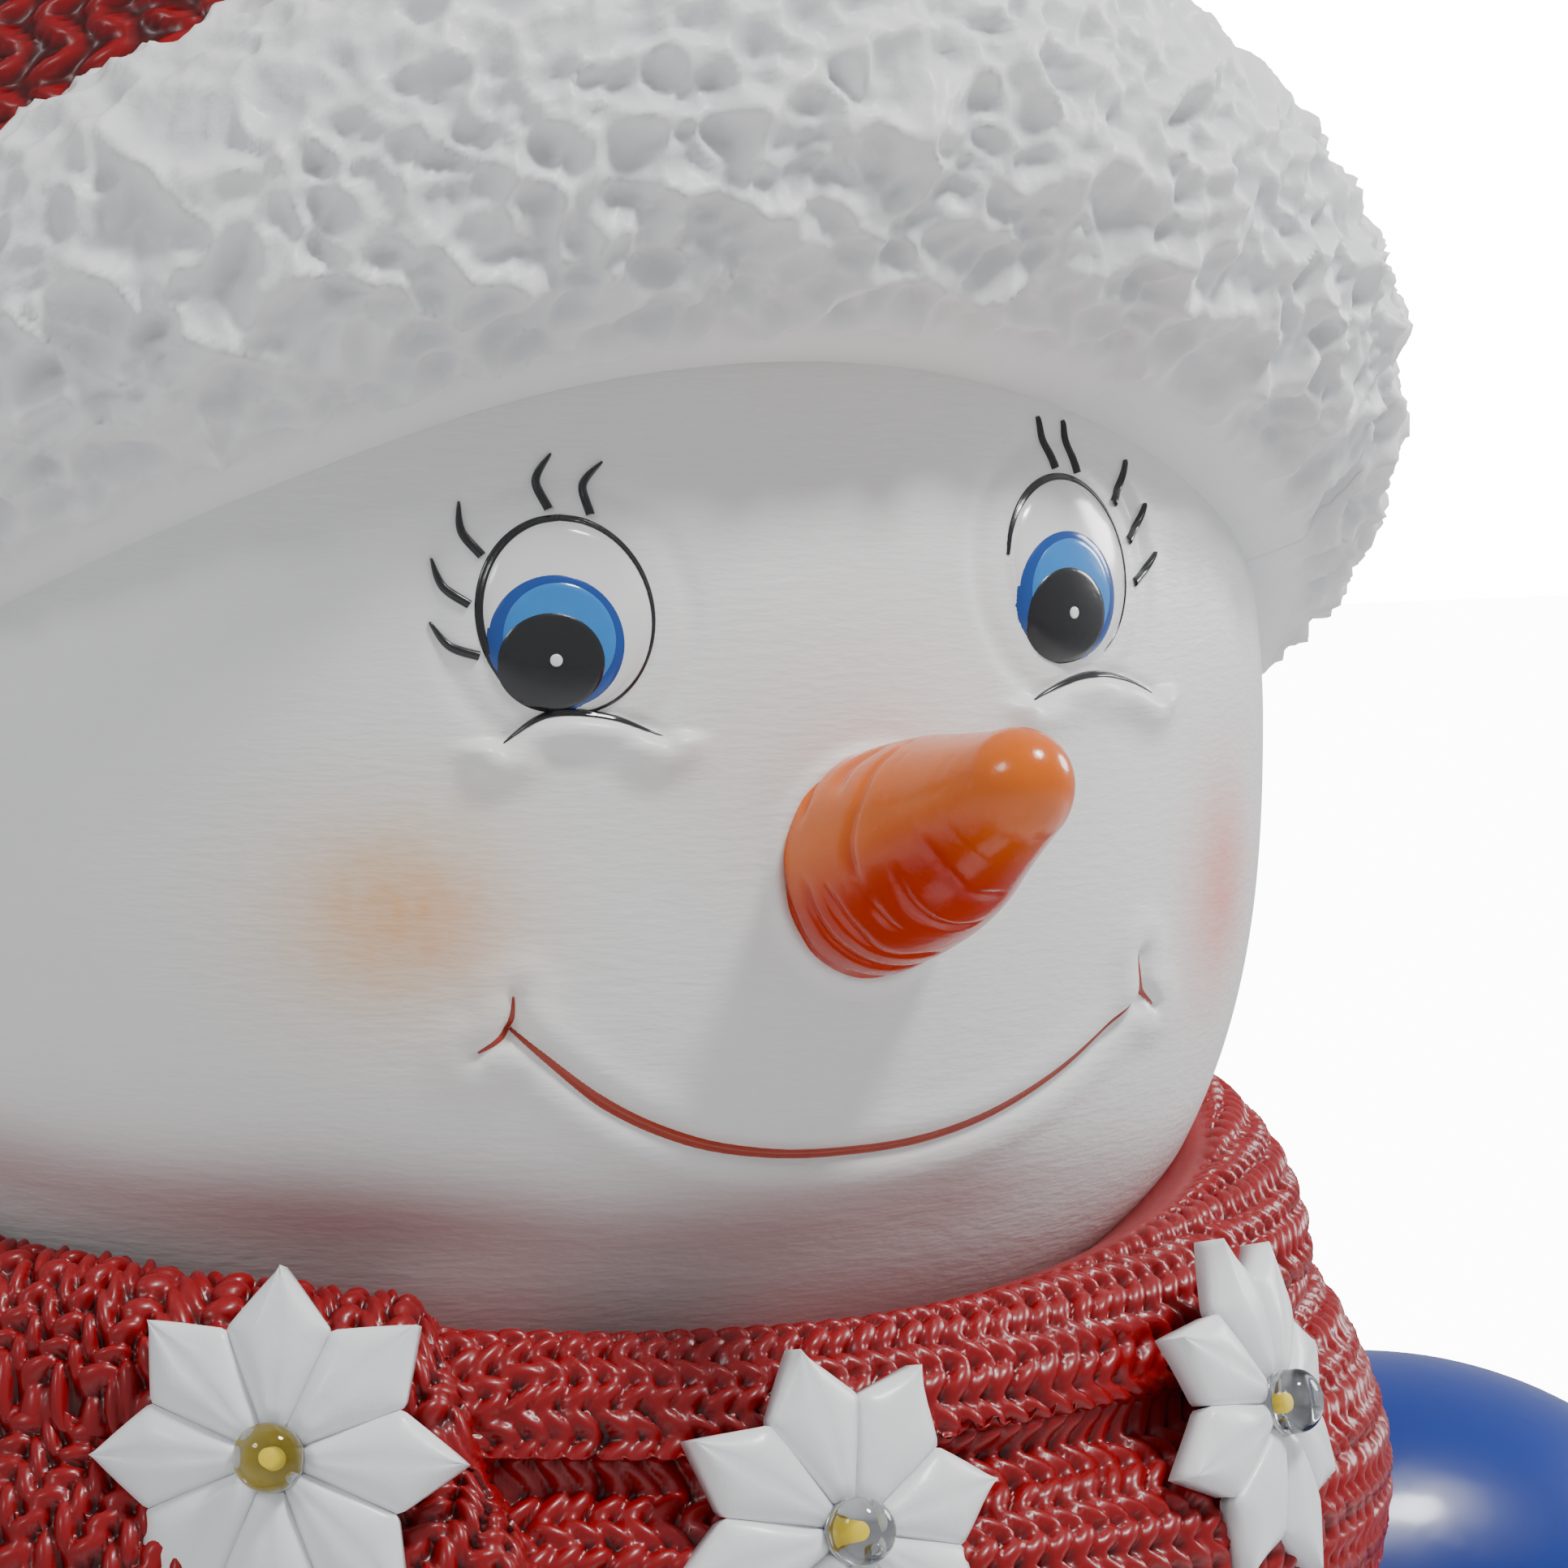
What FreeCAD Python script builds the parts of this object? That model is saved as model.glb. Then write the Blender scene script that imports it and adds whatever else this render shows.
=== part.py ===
"""Standing yard snowman: a painted, hollow-cast figure with lit snowflakes on its knitted scarf.

Frame: millimetres, +Z up, the figure faces -Y, its right hand is on -X.
The origin is the centre of the oval base, on the ground under the rubber feet.
"""
import FreeCAD, Part
import math
import os

import Sketcher
from FreeCAD import Placement, Rotation, Vector

doc = FreeCAD.newDocument("snowman")
sheet = doc.addObject("Spreadsheet::Sheet", "dims")

# ---------------------------------------------------------------- driving sizes, in mm and degrees
SIZES = [
    # castings in general
    ("casting_wall", 6, "wall of the big hollow castings"),
    ("body_ratio", 0.86, "front-to-back size of the body over its width"),
    # ground, base and lower snowball
    ("foot_height", 4, "rubber foot below the base plate"),
    ("foot_radius", 11, "rubber foot"),
    ("foot_spread_x", 125, "rubber foot, from the centre line"),
    ("foot_spread_y", 88, "rubber foot, from the centre line"),
    ("base_radius", 200, "half width of the snow mound on the ground"),
    ("base_shoulder_radius", 180, "half width of the mound where it rounds over"),
    ("base_top_radius", 152, "half width of the mound's flat top"),
    ("base_rise", 40, "height of the mound"),
    ("base_ratio", 0.82, "front-to-back size of the mound over its width"),
    ("base_cavity_radius", 168, "hollow inside the mound"),
    ("plate_thick", 3, "plate that closes the base"),
    ("plate_radius", 186, "half width of the closing plate"),
    ("plate_gap", 0.4, "clearance round the closing plate"),
    ("plate_screw_radius", 177, "plate screws, half width of their oval"),
    ("screw_radius", 1.75, "shank of every self-tapping screw"),
    ("screw_head_radius", 3.4, "head of every screw"),
    ("screw_head_height", 2, "head of every screw"),
    ("screw_length", 12, "shank of a base screw"),
    ("screw_play", 0.05, "radial room in a cut thread"),
    ("lower_height", 66, "height of the bare snowball"),
    ("lower_foot_radius", 140, "snowball where it meets the base"),
    ("lower_bulge_radius", 159, "snowball at its widest"),
    ("lower_top_radius", 157, "snowball under the coat"),
    # coat
    ("coat_height", 220, "coat from its hem to the flat under the scarf"),
    ("coat_hem_radius", 160, "half width of the coat at the hem"),
    ("coat_belly_radius", 159, "half width of the coat at the belly"),
    ("coat_chest_radius", 141, "half width of the coat at the chest"),
    ("coat_collar_radius", 125, "half width of the coat under the collar"),
    ("coat_shoulder_radius", 112, "half width of the flat under the scarf"),
    ("neck_radius", 60, "neck tube"),
    ("neck_height", 47, "neck tube above the coat"),
    ("hem_drop", 6, "fur hem below the edge of the coat"),
    ("hem_height", 40, "fur hem"),
    ("hem_bulge", 13, "fur hem, out from the coat"),
    ("hem_edge", 4, "fur hem at its edges, out from the coat"),
    ("button_radius", 11, "coat button"),
    ("button_thick", 5, "coat button"),
    ("button_eye_radius", 1.5, "each of a button's four holes"),
    ("button_eye_spread", 3, "each hole, across and up from the middle"),
    ("button_sink", 0.6, "flat seat for a button"),
    ("button_stem_radius", 3, "peg behind a button"),
    ("button_stem_length", 4, "peg behind a button"),
    ("button_top_drop", 62, "top button below the coat's shoulder"),
    ("button_pitch", 45, "height between buttons"),
    ("peg_gap", 0.15, "radial clearance of a glued peg"),
    # head
    ("head_rx", 103, "half width of the head"),
    ("head_ry", 84, "half depth of the head"),
    ("head_rz", 103, "half height of the head"),
    ("head_drop", 78, "head's centre above the neck"),
    ("nose_drop", 10.5, "carrot's root below the head's centre"),
    ("nose_aside", 6.5, "carrot's root to the figure's left of the centre line"),
    ("nose_rise", 19, "carrot's upward slant, degrees"),
    ("nose_length", 43, "carrot outside the head"),
    ("nose_root_radius", 12.5, "carrot at the face"),
    ("nose_tip_radius", 5.6, "carrot at its blunt tip"),
    ("nose_peg_radius", 6, "peg that holds the carrot"),
    ("nose_peg_length", 9, "peg inside the head's wall"),
    # hat
    ("crown_radius", 101, "knitted crown where it leaves the fur"),
    ("crown_wall", 6, "knitted crown"),
    ("trim_path_x", 99, "middle of the fur roll, half width"),
    ("trim_path_y", 79.5, "middle of the fur roll, half depth"),
    ("trim_path_shift", 7.5, "fur roll, backwards"),
    ("trim_half_height", 30, "fur roll"),
    ("trim_half_thick", 26, "fur roll"),
    ("trim_mean_height", 35.6, "middle of the fur roll above the head's centre"),
    ("trim_front_lift", 29.5, "fur roll, higher in front than behind"),
    ("trim_arch", 11.9, "fur roll, higher in front and behind than at the sides"),
    ("pompom_radius", 27, "fur ball"),
    # scarf
    ("scarf_foot_radius", 108, "scarf on the coat"),
    ("scarf_roll_radius", 118, "lower roll at its widest"),
    ("scarf_roll_height", 60, "lower roll"),
    ("scarf_upper_radius", 107.5, "upper roll at its widest"),
    ("scarf_upper_height", 25, "upper roll"),
    ("scarf_upper_rise", 74, "middle of the upper roll above the shoulder"),
    ("scarf_lip_radius", 90, "top edge"),
    ("scarf_tilt", 15, "upper roll dips in front, degrees"),
    ("scarf_void_height", 40, "hollow under the scarf"),
    ("scarf_wall", 7, "scarf casting"),
    ("tail_azimuth", -41, "hanging end, from straight ahead, degrees"),
    ("tail_width", 60, "hanging end"),
    ("tail_length", 158, "hanging end below the scarf"),
    ("tail_thick", 11, "hanging end"),
    ("overlap_thick", 9, "end where it crosses the wound scarf"),
    ("fringe_length", 24, "each tassel"),
    ("fringe_radius", 3.6, "each tassel"),
    ("fringe_pitch", 8.2, "between tassels"),
    # sleeves, cuffs and mittens
    ("sleeve_radius", 42, "sleeve at the shoulder"),
    ("elbow_radius", 37, "sleeve at the elbow"),
    ("wrist_radius", 27, "sleeve at the wrist"),
    ("cuff_radius", 33, "fur cuff"),
    ("cuff_length", 24, "fur cuff"),
    ("mitten_length", 62, "mitten beyond the cuff"),
    ("mitten_half_width", 25, "mitten"),
    ("mitten_half_thick", 19, "mitten"),
    ("thumb_radius", 9.5, "thumb"),
    ("thumb_length", 44, "thumb, end to end"),
    # snowflakes and lamps
    ("flake_radius", 21.5, "snowflake, centre to tip"),
    ("flake_waist_radius", 14.5, "snowflake, centre to the notch between petals"),
    ("flake_thick", 4, "snowflake plate"),
    ("flake_groove", 1.2, "depth of the groove between petals"),
    ("flake_sink", 1.2, "flat seat for a snowflake, into the knit"),
    ("spigot_radius", 7, "tube behind a snowflake"),
    ("spigot_length", 5, "tube behind a snowflake"),
    ("lamp_radius", 4, "8 mm lamp"),
    ("lamp_flange_radius", 4.6, "lamp's rim"),
    ("lamp_flange_height", 1, "lamp's rim"),
    ("lamp_height", 9.5, "lamp above its rim"),
    ("lamp_play", 0.1, "radial room round a lamp"),
    ("pin_radius", 0.3, "lamp's legs"),
    ("pin_length", 4, "lamp's legs"),
    ("sleeve_tube_radius", 2.2, "shrink sleeve over a lamp's legs"),
    ("sleeve_tube_length", 12, "shrink sleeve over a lamp's legs"),
    ("wire_radius", 1.1, "twin wire to each lamp"),
    ("wire_hole_radius", 3.2, "hole for a wire and its sleeve in the neck or the coat"),
    ("joint_radius", 8, "sleeve where the lamp wires join the lead"),
    ("joint_length", 20, "sleeve where the lamp wires join the lead"),
    ("joint_top", 80, "top of that sleeve above the hem"),
    ("lead_radius", 2.2, "lead from the joint to the battery case"),
    # battery case and its door, in the back of the coat
    ("panel_height", 70, "middle of the battery case above the hem"),
    ("panel_width", 104, "case flange"),
    ("panel_tall", 64, "case flange"),
    ("panel_thick", 2.5, "case flange"),
    ("panel_depth", 122.5, "seat of the flange, behind the centre"),
    ("panel_gap", 0.3, "clearance round the flange and the case"),
    ("pad_margin", 8, "thick frame cast round the case"),
    ("pad_depth", 14, "thick frame cast round the case, inwards"),
    ("cell_radius", 7.1, "AA cell"),
    ("cell_length", 49.2, "AA cell without its button"),
    ("cell_button_radius", 2.6, "AA cell's button"),
    ("cell_button_length", 1.2, "AA cell's button"),
    ("cell_pitch", 15.4, "between cells"),
    ("spring_room", 5.4, "length of a contact spring"),
    ("contact_thick", 0.6, "contact plate"),
    ("well_depth", 17.5, "battery well below the flange's face"),
    ("case_wall", 2, "battery case"),
    ("case_shift", -12, "middle of the battery well from the flange's middle"),
    ("bay_width", 23, "electronics bay beside the well"),
    ("board_thick", 1.6, "timer board"),
    ("door_thick", 2.2, "battery door"),
    ("door_margin", 1.5, "door overlap past the well"),
    ("hinge_pin_radius", 1.2, "hinge pin"),
    ("hinge_play", 0.06, "radial room round the hinge pin in the door"),
    ("hinge_grip", 0.02, "radial room round the hinge pin in the case"),
    ("knuckle_radius", 2.6, "hinge knuckle"),
    ("knuckle_length", 7, "each fixed knuckle"),
    ("knuckle_spread", 22, "fixed knuckles, from the middle of the well"),
    ("knuckle_gap", 0.4, "between the door's knuckle and a fixed one"),
    ("door_clear", 0.3, "between the closed door and the flange"),
    ("slider_width", 5, "switch knob"),
    ("slider_tall", 4, "switch knob"),
    ("slider_rise", 3, "switch knob above the flange"),
    ("slider_travel", 3, "each way, from off in the middle"),
    ("slider_play", 0.3, "room round the knob in its slot"),
    ("slider_up", 9, "switch above the middle of the case"),
    ("slider_base_thick", 1.2, "plate under the knob"),
    ("slider_gap", 0.15, "above and below the knob's plate"),
    ("board_drop", 11, "timer board below the flange's face"),
    ("board_width", 20, "timer board"),
    ("board_tall", 42, "timer board"),
    ("socket_height", 6, "lead's socket behind the timer board"),
    ("case_screw_length", 9, "shank of a case screw"),
    ("case_screw_x", 48, "case screws, from the middle of the flange"),
    ("case_screw_y", 24, "case screws, from the middle of the flange"),
]

for row, (alias, number, meaning) in enumerate(SIZES, start=1):
    sheet.set(f"A{row}", meaning)
    sheet.set(f"B{row}", str(number))
    sheet.setAlias(f"B{row}", alias)
doc.recompute()

# heights and other places that follow from the sizes, as expressions on the sheet
PLATE_TOP = "(dims.foot_height + dims.plate_thick)"
BASE_TOP = "(dims.foot_height + dims.base_rise)"
COAT_HEM = f"({BASE_TOP} + dims.lower_height)"
SHOULDER = f"({COAT_HEM} + dims.coat_height)"
NECK_TOP = f"({SHOULDER} + dims.neck_height)"
HEAD = f"({NECK_TOP} + dims.head_drop)"
PANEL = f"({COAT_HEM} + dims.panel_height)"
PANEL_FACE = "(dims.panel_depth + dims.panel_thick)"
WELL_LENGTH = "(dims.cell_length + dims.cell_button_length + dims.spring_room + 2 * dims.contact_thick)"
WELL_TALL = "(3 * dims.cell_pitch + 1)"
WELL_MID = "dims.case_shift"
BAY_MID = f"({WELL_MID} + {WELL_LENGTH} / 2 + dims.case_wall + dims.bay_width / 2)"
TUB_WIDTH = f"({WELL_LENGTH} + dims.bay_width + 3 * dims.case_wall)"
TUB_TALL = f"({WELL_TALL} + 2 * dims.case_wall)"
TUB_MID = f"({WELL_MID} + (dims.bay_width + dims.case_wall) / 2)"
TUB_DEPTH = "(dims.well_depth + dims.case_wall)"
HINGE_UP = f"({WELL_TALL} / 2 + dims.door_margin + dims.knuckle_radius + 0.6)"
HINGE_OUT = "(dims.door_clear + dims.knuckle_radius)"
FAR = 400.0  # longer than any part of the figure


def value(expression):
    """The present value of an expression on the sheet."""
    return float(sheet.evalExpression(str(expression)))


def bind(obj, **expressions):
    """Ties properties of obj to expressions; a double underscore in a name stands for a dot."""
    for name, expression in expressions.items():
        obj.setExpression(name.replace("__", "."), str(expression))
    return obj


# ---------------------------------------------------------------- Part helpers
def boolean(kind, name, shapes):
    obj = doc.addObject(kind, name)
    if kind == "Part::Cut":
        obj.Base, obj.Tool = shapes
    else:
        obj.Shapes = shapes
    return obj


def cut(name, base, *tools):
    """base less every tool, one after another."""
    for i, tool in enumerate(tools[:-1]):
        base = boolean("Part::Cut", f"{name}_step{i}", (base, tool))
    return boolean("Part::Cut", name, (base, tools[-1]))


def fuse(name, *shapes):
    return boolean("Part::MultiFuse", name, list(shapes))


def common(name, *shapes):
    return boolean("Part::MultiCommon", name, list(shapes))


def rod(name, radius, length, place):
    """A cylinder along place's own +Z, from place's origin."""
    obj = doc.addObject("Part::Cylinder", name)
    bind(obj, Radius=radius, Height=length)
    obj.Placement = place
    return obj


def oval(name, radius, ratio, height, grow="0", tilt=0.0):
    """An ellipse, wide in X, tilted so that its front dips; its seam is on the figure's right."""
    obj = doc.addObject("Part::Ellipse", name)
    half_turn = Rotation(Vector(0, 0, 1), 180)
    obj.Placement = Placement(Vector(), Rotation(Vector(1, 0, 0), tilt).multiply(half_turn))
    bind(obj, MajorRadius=f"{radius} + {grow}", MinorRadius=f"({radius}) * {ratio} + {grow}")
    return bind(obj, Placement__Base__z=height)


def loft(name, sections):
    obj = doc.addObject("Part::Loft", name)
    obj.Sections = sections
    obj.Solid = True
    obj.Ruled = False
    return obj


def stack(name, levels, ratio, grow="0"):
    """A smooth solid through level ovals, each given as (radius, height)."""
    rings = [oval(f"{name}_ring{i}", r, ratio, z, grow) for i, (r, z) in enumerate(levels)]
    return loft(name, rings)


def lobe(name, wide, deep, tall, place, low=-84.0):
    """An ellipsoid along place's +Z, flat at its two ends; low is where its lower end is cut, in degrees."""
    rings = []
    for i, angle in enumerate(steps(low, 84.0, 9)):
        ring = doc.addObject("Part::Ellipse", f"{name}_ring{i}")
        share = math.cos(math.radians(angle))
        bind(ring, MajorRadius=f"{share:.6f} * {wide}", MinorRadius=f"{share:.6f} * {deep}")
        rise = math.sin(math.radians(angle)) * value(tall)
        ring.Placement = place.multiply(Placement(Vector(0, 0, rise), Rotation()))
        rings.append(ring)
    return loft(name, rings)


def steps(low, high, count):
    """count numbers from low to high, evenly spread."""
    return [low + (high - low) * i / (count - 1) for i in range(count)]


def mirror(name, source):
    """source on the other side of the YZ plane."""
    obj = doc.addObject("Part::Mirroring", name)
    obj.Source = source
    obj.Normal = Vector(1, 0, 0)
    return obj


def feature(name, shape):
    obj = doc.addObject("Part::Feature", name)
    obj.Shape = shape
    return obj


def facing(origin, outward, upward=Vector(0, 0, 1)):
    """A placement at origin whose +Z points outward and whose +Y leans towards upward."""
    z = Vector(outward).normalize()
    x = upward.cross(z).normalize()
    return Placement(origin, Rotation(x, z.cross(x), z, "ZXY"))


# ---------------------------------------------------------------- PartDesign helpers
def body(name):
    return doc.addObject("PartDesign::Body", name)


def sketch(owner, plane, name, offset="0"):
    """A sketch on one of owner's origin planes, moved along the plane's normal by offset."""
    sk = owner.newObject("Sketcher::SketchObject", name)
    support = next(f for f in owner.Origin.OriginFeatures if f.Role == plane)
    sk.AttachmentSupport = [(support, "")]
    sk.MapMode = "FlatFace"
    sk.setExpression("AttachmentOffset.Base.z", str(offset))
    return sk


def pin_point(sk, geometry, end, x, y):
    """Ties a point of a sketch to two expressions."""
    for kind, expression in (("DistanceX", x), ("DistanceY", y)):
        at = sk.addConstraint(
            Sketcher.Constraint(kind, -1, 1, geometry, end, value(expression))
        )
        sk.setExpression(f"Constraints[{at}]", str(expression))


def polygon(sk, points):
    """A closed outline through points, each an (x, y) pair of expressions."""
    corners = [Vector(value(x), value(y), 0) for x, y in points]
    first = sk.GeometryCount
    for i, corner in enumerate(corners):
        sk.addGeometry(Part.LineSegment(corner, corners[(i + 1) % len(corners)]), False)
    for i, (x, y) in enumerate(points):
        following = first + (i + 1) % len(points)
        sk.addConstraint(Sketcher.Constraint("Coincident", first + i, 2, following, 1))
        pin_point(sk, first + i, 1, x, y)


def rectangle(sk, x_mid, y_mid, width, height):
    left, right = f"{x_mid} - ({width}) / 2", f"{x_mid} + ({width}) / 2"
    low, high = f"{y_mid} - ({height}) / 2", f"{y_mid} + ({height}) / 2"
    polygon(sk, [(left, low), (right, low), (right, high), (left, high)])


def circle(sk, x, y, radius):
    at = sk.addGeometry(
        Part.Circle(Vector(value(x), value(y), 0), Vector(0, 0, 1), value(radius)), False
    )
    pin_point(sk, at, 3, x, y)
    size = sk.addConstraint(Sketcher.Constraint("Radius", at, value(radius)))
    sk.setExpression(f"Constraints[{size}]", str(radius))


def pad(owner, sk, length, name="Pad"):
    made = owner.newObject("PartDesign::Pad", f"{owner.Name}_{name}")
    made.Profile = sk
    made.setExpression("Length", str(length))
    return made


def pocket(owner, sk, length, name, reverse=False):
    """Cuts from the sketch against its normal, or along it with reverse."""
    doc.recompute()
    before = owner.Shape.Volume
    made = owner.newObject("PartDesign::Pocket", f"{owner.Name}_{name}")
    made.Profile = sk
    made.setExpression("Length", str(length))
    made.Reversed = reverse
    doc.recompute()
    if owner.Shape.Volume > before - 1e-3:
        raise RuntimeError(f"{made.Name} cuts nothing")
    return made


def turned(name, outline):
    """A body turned about its Z axis; outline holds (radius, height) pairs of expressions."""
    made = body(name)
    sk = sketch(made, "XZ_Plane", name + "_profile")
    polygon(sk, outline)
    spin = made.newObject("PartDesign::Revolution", name + "_spin")
    spin.Profile = sk
    spin.ReferenceAxis = (sk, ["V_Axis"])
    spin.Angle = 360.0
    return made


def copies(name, source, places):
    """Separate solids of one shape, one at each place."""
    doc.recompute()
    shapes = []
    for place in places:
        shape = source.Shape.copy()
        shape.Placement = place
        shapes.append(shape)
    return feature(name, Part.Compound(shapes))


def surface_point(solid, azimuth, height):
    """Where a level ray from the middle of the figure leaves the solid."""
    heading = Vector(math.sin(math.radians(azimuth)), -math.cos(math.radians(azimuth)), 0)
    start = Vector(0, 0, height)
    ray = Part.makeLine(start, start + heading * FAR)
    doc.recompute()
    inside = solid.Shape.common(ray)
    return max((v.Point for v in inside.Vertexes), key=lambda p: (p - start).Length)


def rounded_path(points):
    """Straight runs joined by tangent arcs, each as large as its two runs allow."""
    edges = []
    here = points[0]
    for before, corner, after in zip(points, points[1:], points[2:]):
        incoming, outgoing = corner - before, after - corner
        turn = incoming.getAngle(outgoing)
        reach = 0.45 * min(incoming.Length, outgoing.Length)
        radius = reach / math.tan(turn / 2)
        into, out = Vector(incoming).normalize(), Vector(outgoing).normalize()
        start, end = corner - into * reach, corner + out * reach
        bisector = (out - into).normalize()
        centre = corner + bisector * (radius / math.cos(turn / 2))
        middle = centre - bisector * radius
        edges.append(Part.LineSegment(here, start).toShape())
        edges.append(Part.Arc(start, middle, end).toShape())
        here = end
    edges.append(Part.LineSegment(here, points[-1]).toShape())
    return Part.Wire(edges)


def tube(points, radius):
    """A round solid along a rounded path, checked against its section times its length."""
    path = rounded_path(points)
    ring = Part.Wire(Part.makeCircle(radius, points[0], points[1] - points[0]))
    solid = path.makePipeShell([ring], True, True)
    expected = math.pi * radius**2 * path.Length
    if not solid.isValid() or abs(solid.Volume / expected - 1) > 0.01:
        raise RuntimeError("a wire came out wrong")
    return solid


PARTS = []  # every finished sub-part, in the order it goes together


def finished(obj, label):
    obj.Label = label
    PARTS.append(obj)
    return obj


# ---------------------------------------------------------------- base and lower snowball
def base_parts():
    mound = stack(
        "mound",
        [
            ("dims.base_radius", "dims.foot_height"),
            ("dims.base_radius - 3", "dims.foot_height + 0.45 * dims.base_rise"),
            ("dims.base_shoulder_radius", "dims.foot_height + 0.8 * dims.base_rise"),
            ("dims.base_top_radius", BASE_TOP),
        ],
        "dims.base_ratio",
    )
    cavity = stack(
        "mound_cavity",
        [
            ("dims.base_cavity_radius", PLATE_TOP),
            ("dims.base_cavity_radius - 2", f"({PLATE_TOP} + {BASE_TOP} - dims.casting_wall) / 2"),
            ("dims.base_top_radius - 2 * dims.casting_wall", f"{BASE_TOP} - dims.casting_wall"),
        ],
        "dims.base_ratio",
    )
    rebate = stack(
        "plate_rebate",
        [("dims.plate_radius", "dims.foot_height"), ("dims.plate_radius", PLATE_TOP)],
        "dims.base_ratio",
        "dims.plate_gap",
    )
    plate = stack(
        "plate_blank",
        [("dims.plate_radius", "dims.foot_height"), ("dims.plate_radius", PLATE_TOP)],
        "dims.base_ratio",
    )
    screw = turned_screw("base_screw", "dims.screw_length")
    places = []
    for angle in range(30, 390, 60):
        x = value("dims.plate_screw_radius") * math.cos(math.radians(angle))
        y = value("dims.plate_screw_radius * dims.base_ratio") * math.sin(math.radians(angle))
        places.append(Placement(Vector(x, y, value("dims.foot_height")), Rotation()))
    holes = [
        rod(f"base_screw_hole{i}", "dims.screw_radius + dims.screw_play", "dims.screw_length + 1", p)
        for i, p in enumerate(places)
    ]
    finished(cut("base_shell", mound, cavity, rebate, *holes), "base_casting")
    finished(cut("base_cover", plate, *holes), "base_plate")
    finished(copies("base_screw_set", screw, places), "base_plate_screws")

    foot = turned(
        "foot",
        [
            ("0", "0"),
            ("dims.foot_radius - 1", "0"),
            ("dims.foot_radius", "1"),
            ("dims.foot_radius", "dims.foot_height"),
            ("0", "dims.foot_height"),
        ],
    )
    corners = [
        Placement(Vector(sx * value("dims.foot_spread_x"), sy * value("dims.foot_spread_y"), 0), Rotation())
        for sx in (-1, 1)
        for sy in (-1, 1)
    ]
    finished(copies("foot_set", foot, corners), "rubber_feet")


def turned_screw(name, length):
    """Pan-head screw; its head hangs below z = 0 and its shank stands above."""
    return turned(
        name,
        [
            ("0", "-dims.screw_head_height"),
            ("dims.screw_head_radius - 0.8", "-dims.screw_head_height"),
            ("dims.screw_head_radius", "-dims.screw_head_height + 0.8"),
            ("dims.screw_head_radius", "0"),
            ("dims.screw_radius", "0"),
            ("dims.screw_radius", f"{length} - 2"),
            ("0", length),
        ],
    )


def lower_snowball():
    levels = [
        ("dims.lower_foot_radius", BASE_TOP),
        ("dims.lower_bulge_radius", f"({BASE_TOP} + {COAT_HEM}) / 2"),
        ("dims.lower_top_radius", COAT_HEM),
    ]
    outer = stack("lower_outer", levels, "dims.body_ratio")
    inner = stack("lower_inner", levels, "dims.body_ratio", "-dims.casting_wall")
    finished(cut("lower_shell", outer, inner), "lower_snowball_casting")
    return outer


# ---------------------------------------------------------------- coat
def coat_levels():
    return [
        ("dims.coat_hem_radius", COAT_HEM),
        ("dims.coat_belly_radius", f"{COAT_HEM} + 0.3 * dims.coat_height"),
        ("dims.coat_chest_radius", f"{COAT_HEM} + 0.66 * dims.coat_height"),
        ("dims.coat_collar_radius", f"{COAT_HEM} + 0.88 * dims.coat_height"),
        ("dims.coat_shoulder_radius", SHOULDER),
    ]


def coat_outline(name, grow="0"):
    return stack(name, coat_levels(), "dims.body_ratio", grow)


def coat_with_neck(outer):
    """The coat's shell with its flat shoulder, neck tube and the thick frame round the battery case."""
    levels = coat_levels()
    levels[-1] = (levels[-1][0], f"{SHOULDER} - dims.casting_wall")
    inner = stack("coat_inner", levels, "dims.body_ratio", "-dims.casting_wall")
    neck = stack(
        "neck_outer", [("dims.neck_radius", SHOULDER), ("dims.neck_radius", NECK_TOP)], "dims.body_ratio"
    )
    bore = stack(
        "neck_bore",
        [("dims.neck_radius", f"{SHOULDER} - 2 * dims.casting_wall"), ("dims.neck_radius", NECK_TOP)],
        "dims.body_ratio",
        "-dims.casting_wall",
    )
    block = case_block(
        "case_frame_block",
        "0",
        "0",
        "dims.panel_width + 2 * dims.pad_margin",
        "dims.panel_tall + 2 * dims.pad_margin",
        "-dims.panel_thick - dims.pad_depth",
        "5 * dims.pad_depth",
    )
    shell = cut("coat_hollow", outer, inner)
    return cut("coat_bored", fuse("coat_joined", shell, neck, common("case_frame", block, outer)), bore)


def case_openings():
    """The flat seat for the case's flange, the way through for the case, and its screw holes."""
    tools = [
        case_block(
            "case_seat",
            "0",
            "0",
            "dims.panel_width + 2 * dims.panel_gap",
            "dims.panel_tall + 2 * dims.panel_gap",
            "-dims.panel_thick",
            "5 * dims.pad_depth",
        ),
        case_block(
            "case_way",
            TUB_MID,
            "0",
            f"{TUB_WIDTH} + 2 * dims.panel_gap",
            f"{TUB_TALL} + 2 * dims.panel_gap",
            "-3 * dims.pad_depth",
            "0",
        ),
    ]
    for i, place in enumerate(case_screw_places()):
        tools.append(
            rod(f"case_screw_hole{i}", "dims.screw_radius + dims.screw_play", "dims.case_screw_length + 1", place)
        )
    return tools


def case_frame(*offset):
    """+X towards the figure's right, +Y up, +Z out of the back, from the middle of the flange's face."""
    frame = facing(Vector(0, value(PANEL_FACE), value(PANEL)), Vector(0, 1, 0))
    if offset:
        frame = frame.multiply(Placement(Vector(*(value(o) for o in offset)), Rotation()))
    return frame


def case_block(name, x_mid, y_mid, width, tall, z_low, z_high):
    """A box in the case's frame."""
    obj = doc.addObject("Part::Box", name)
    bind(obj, Length=width, Width=tall, Height=f"({z_high}) - ({z_low})")
    obj.Placement = case_frame(f"{x_mid} - ({width}) / 2", f"{y_mid} - ({tall}) / 2", z_low)
    return obj


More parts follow.
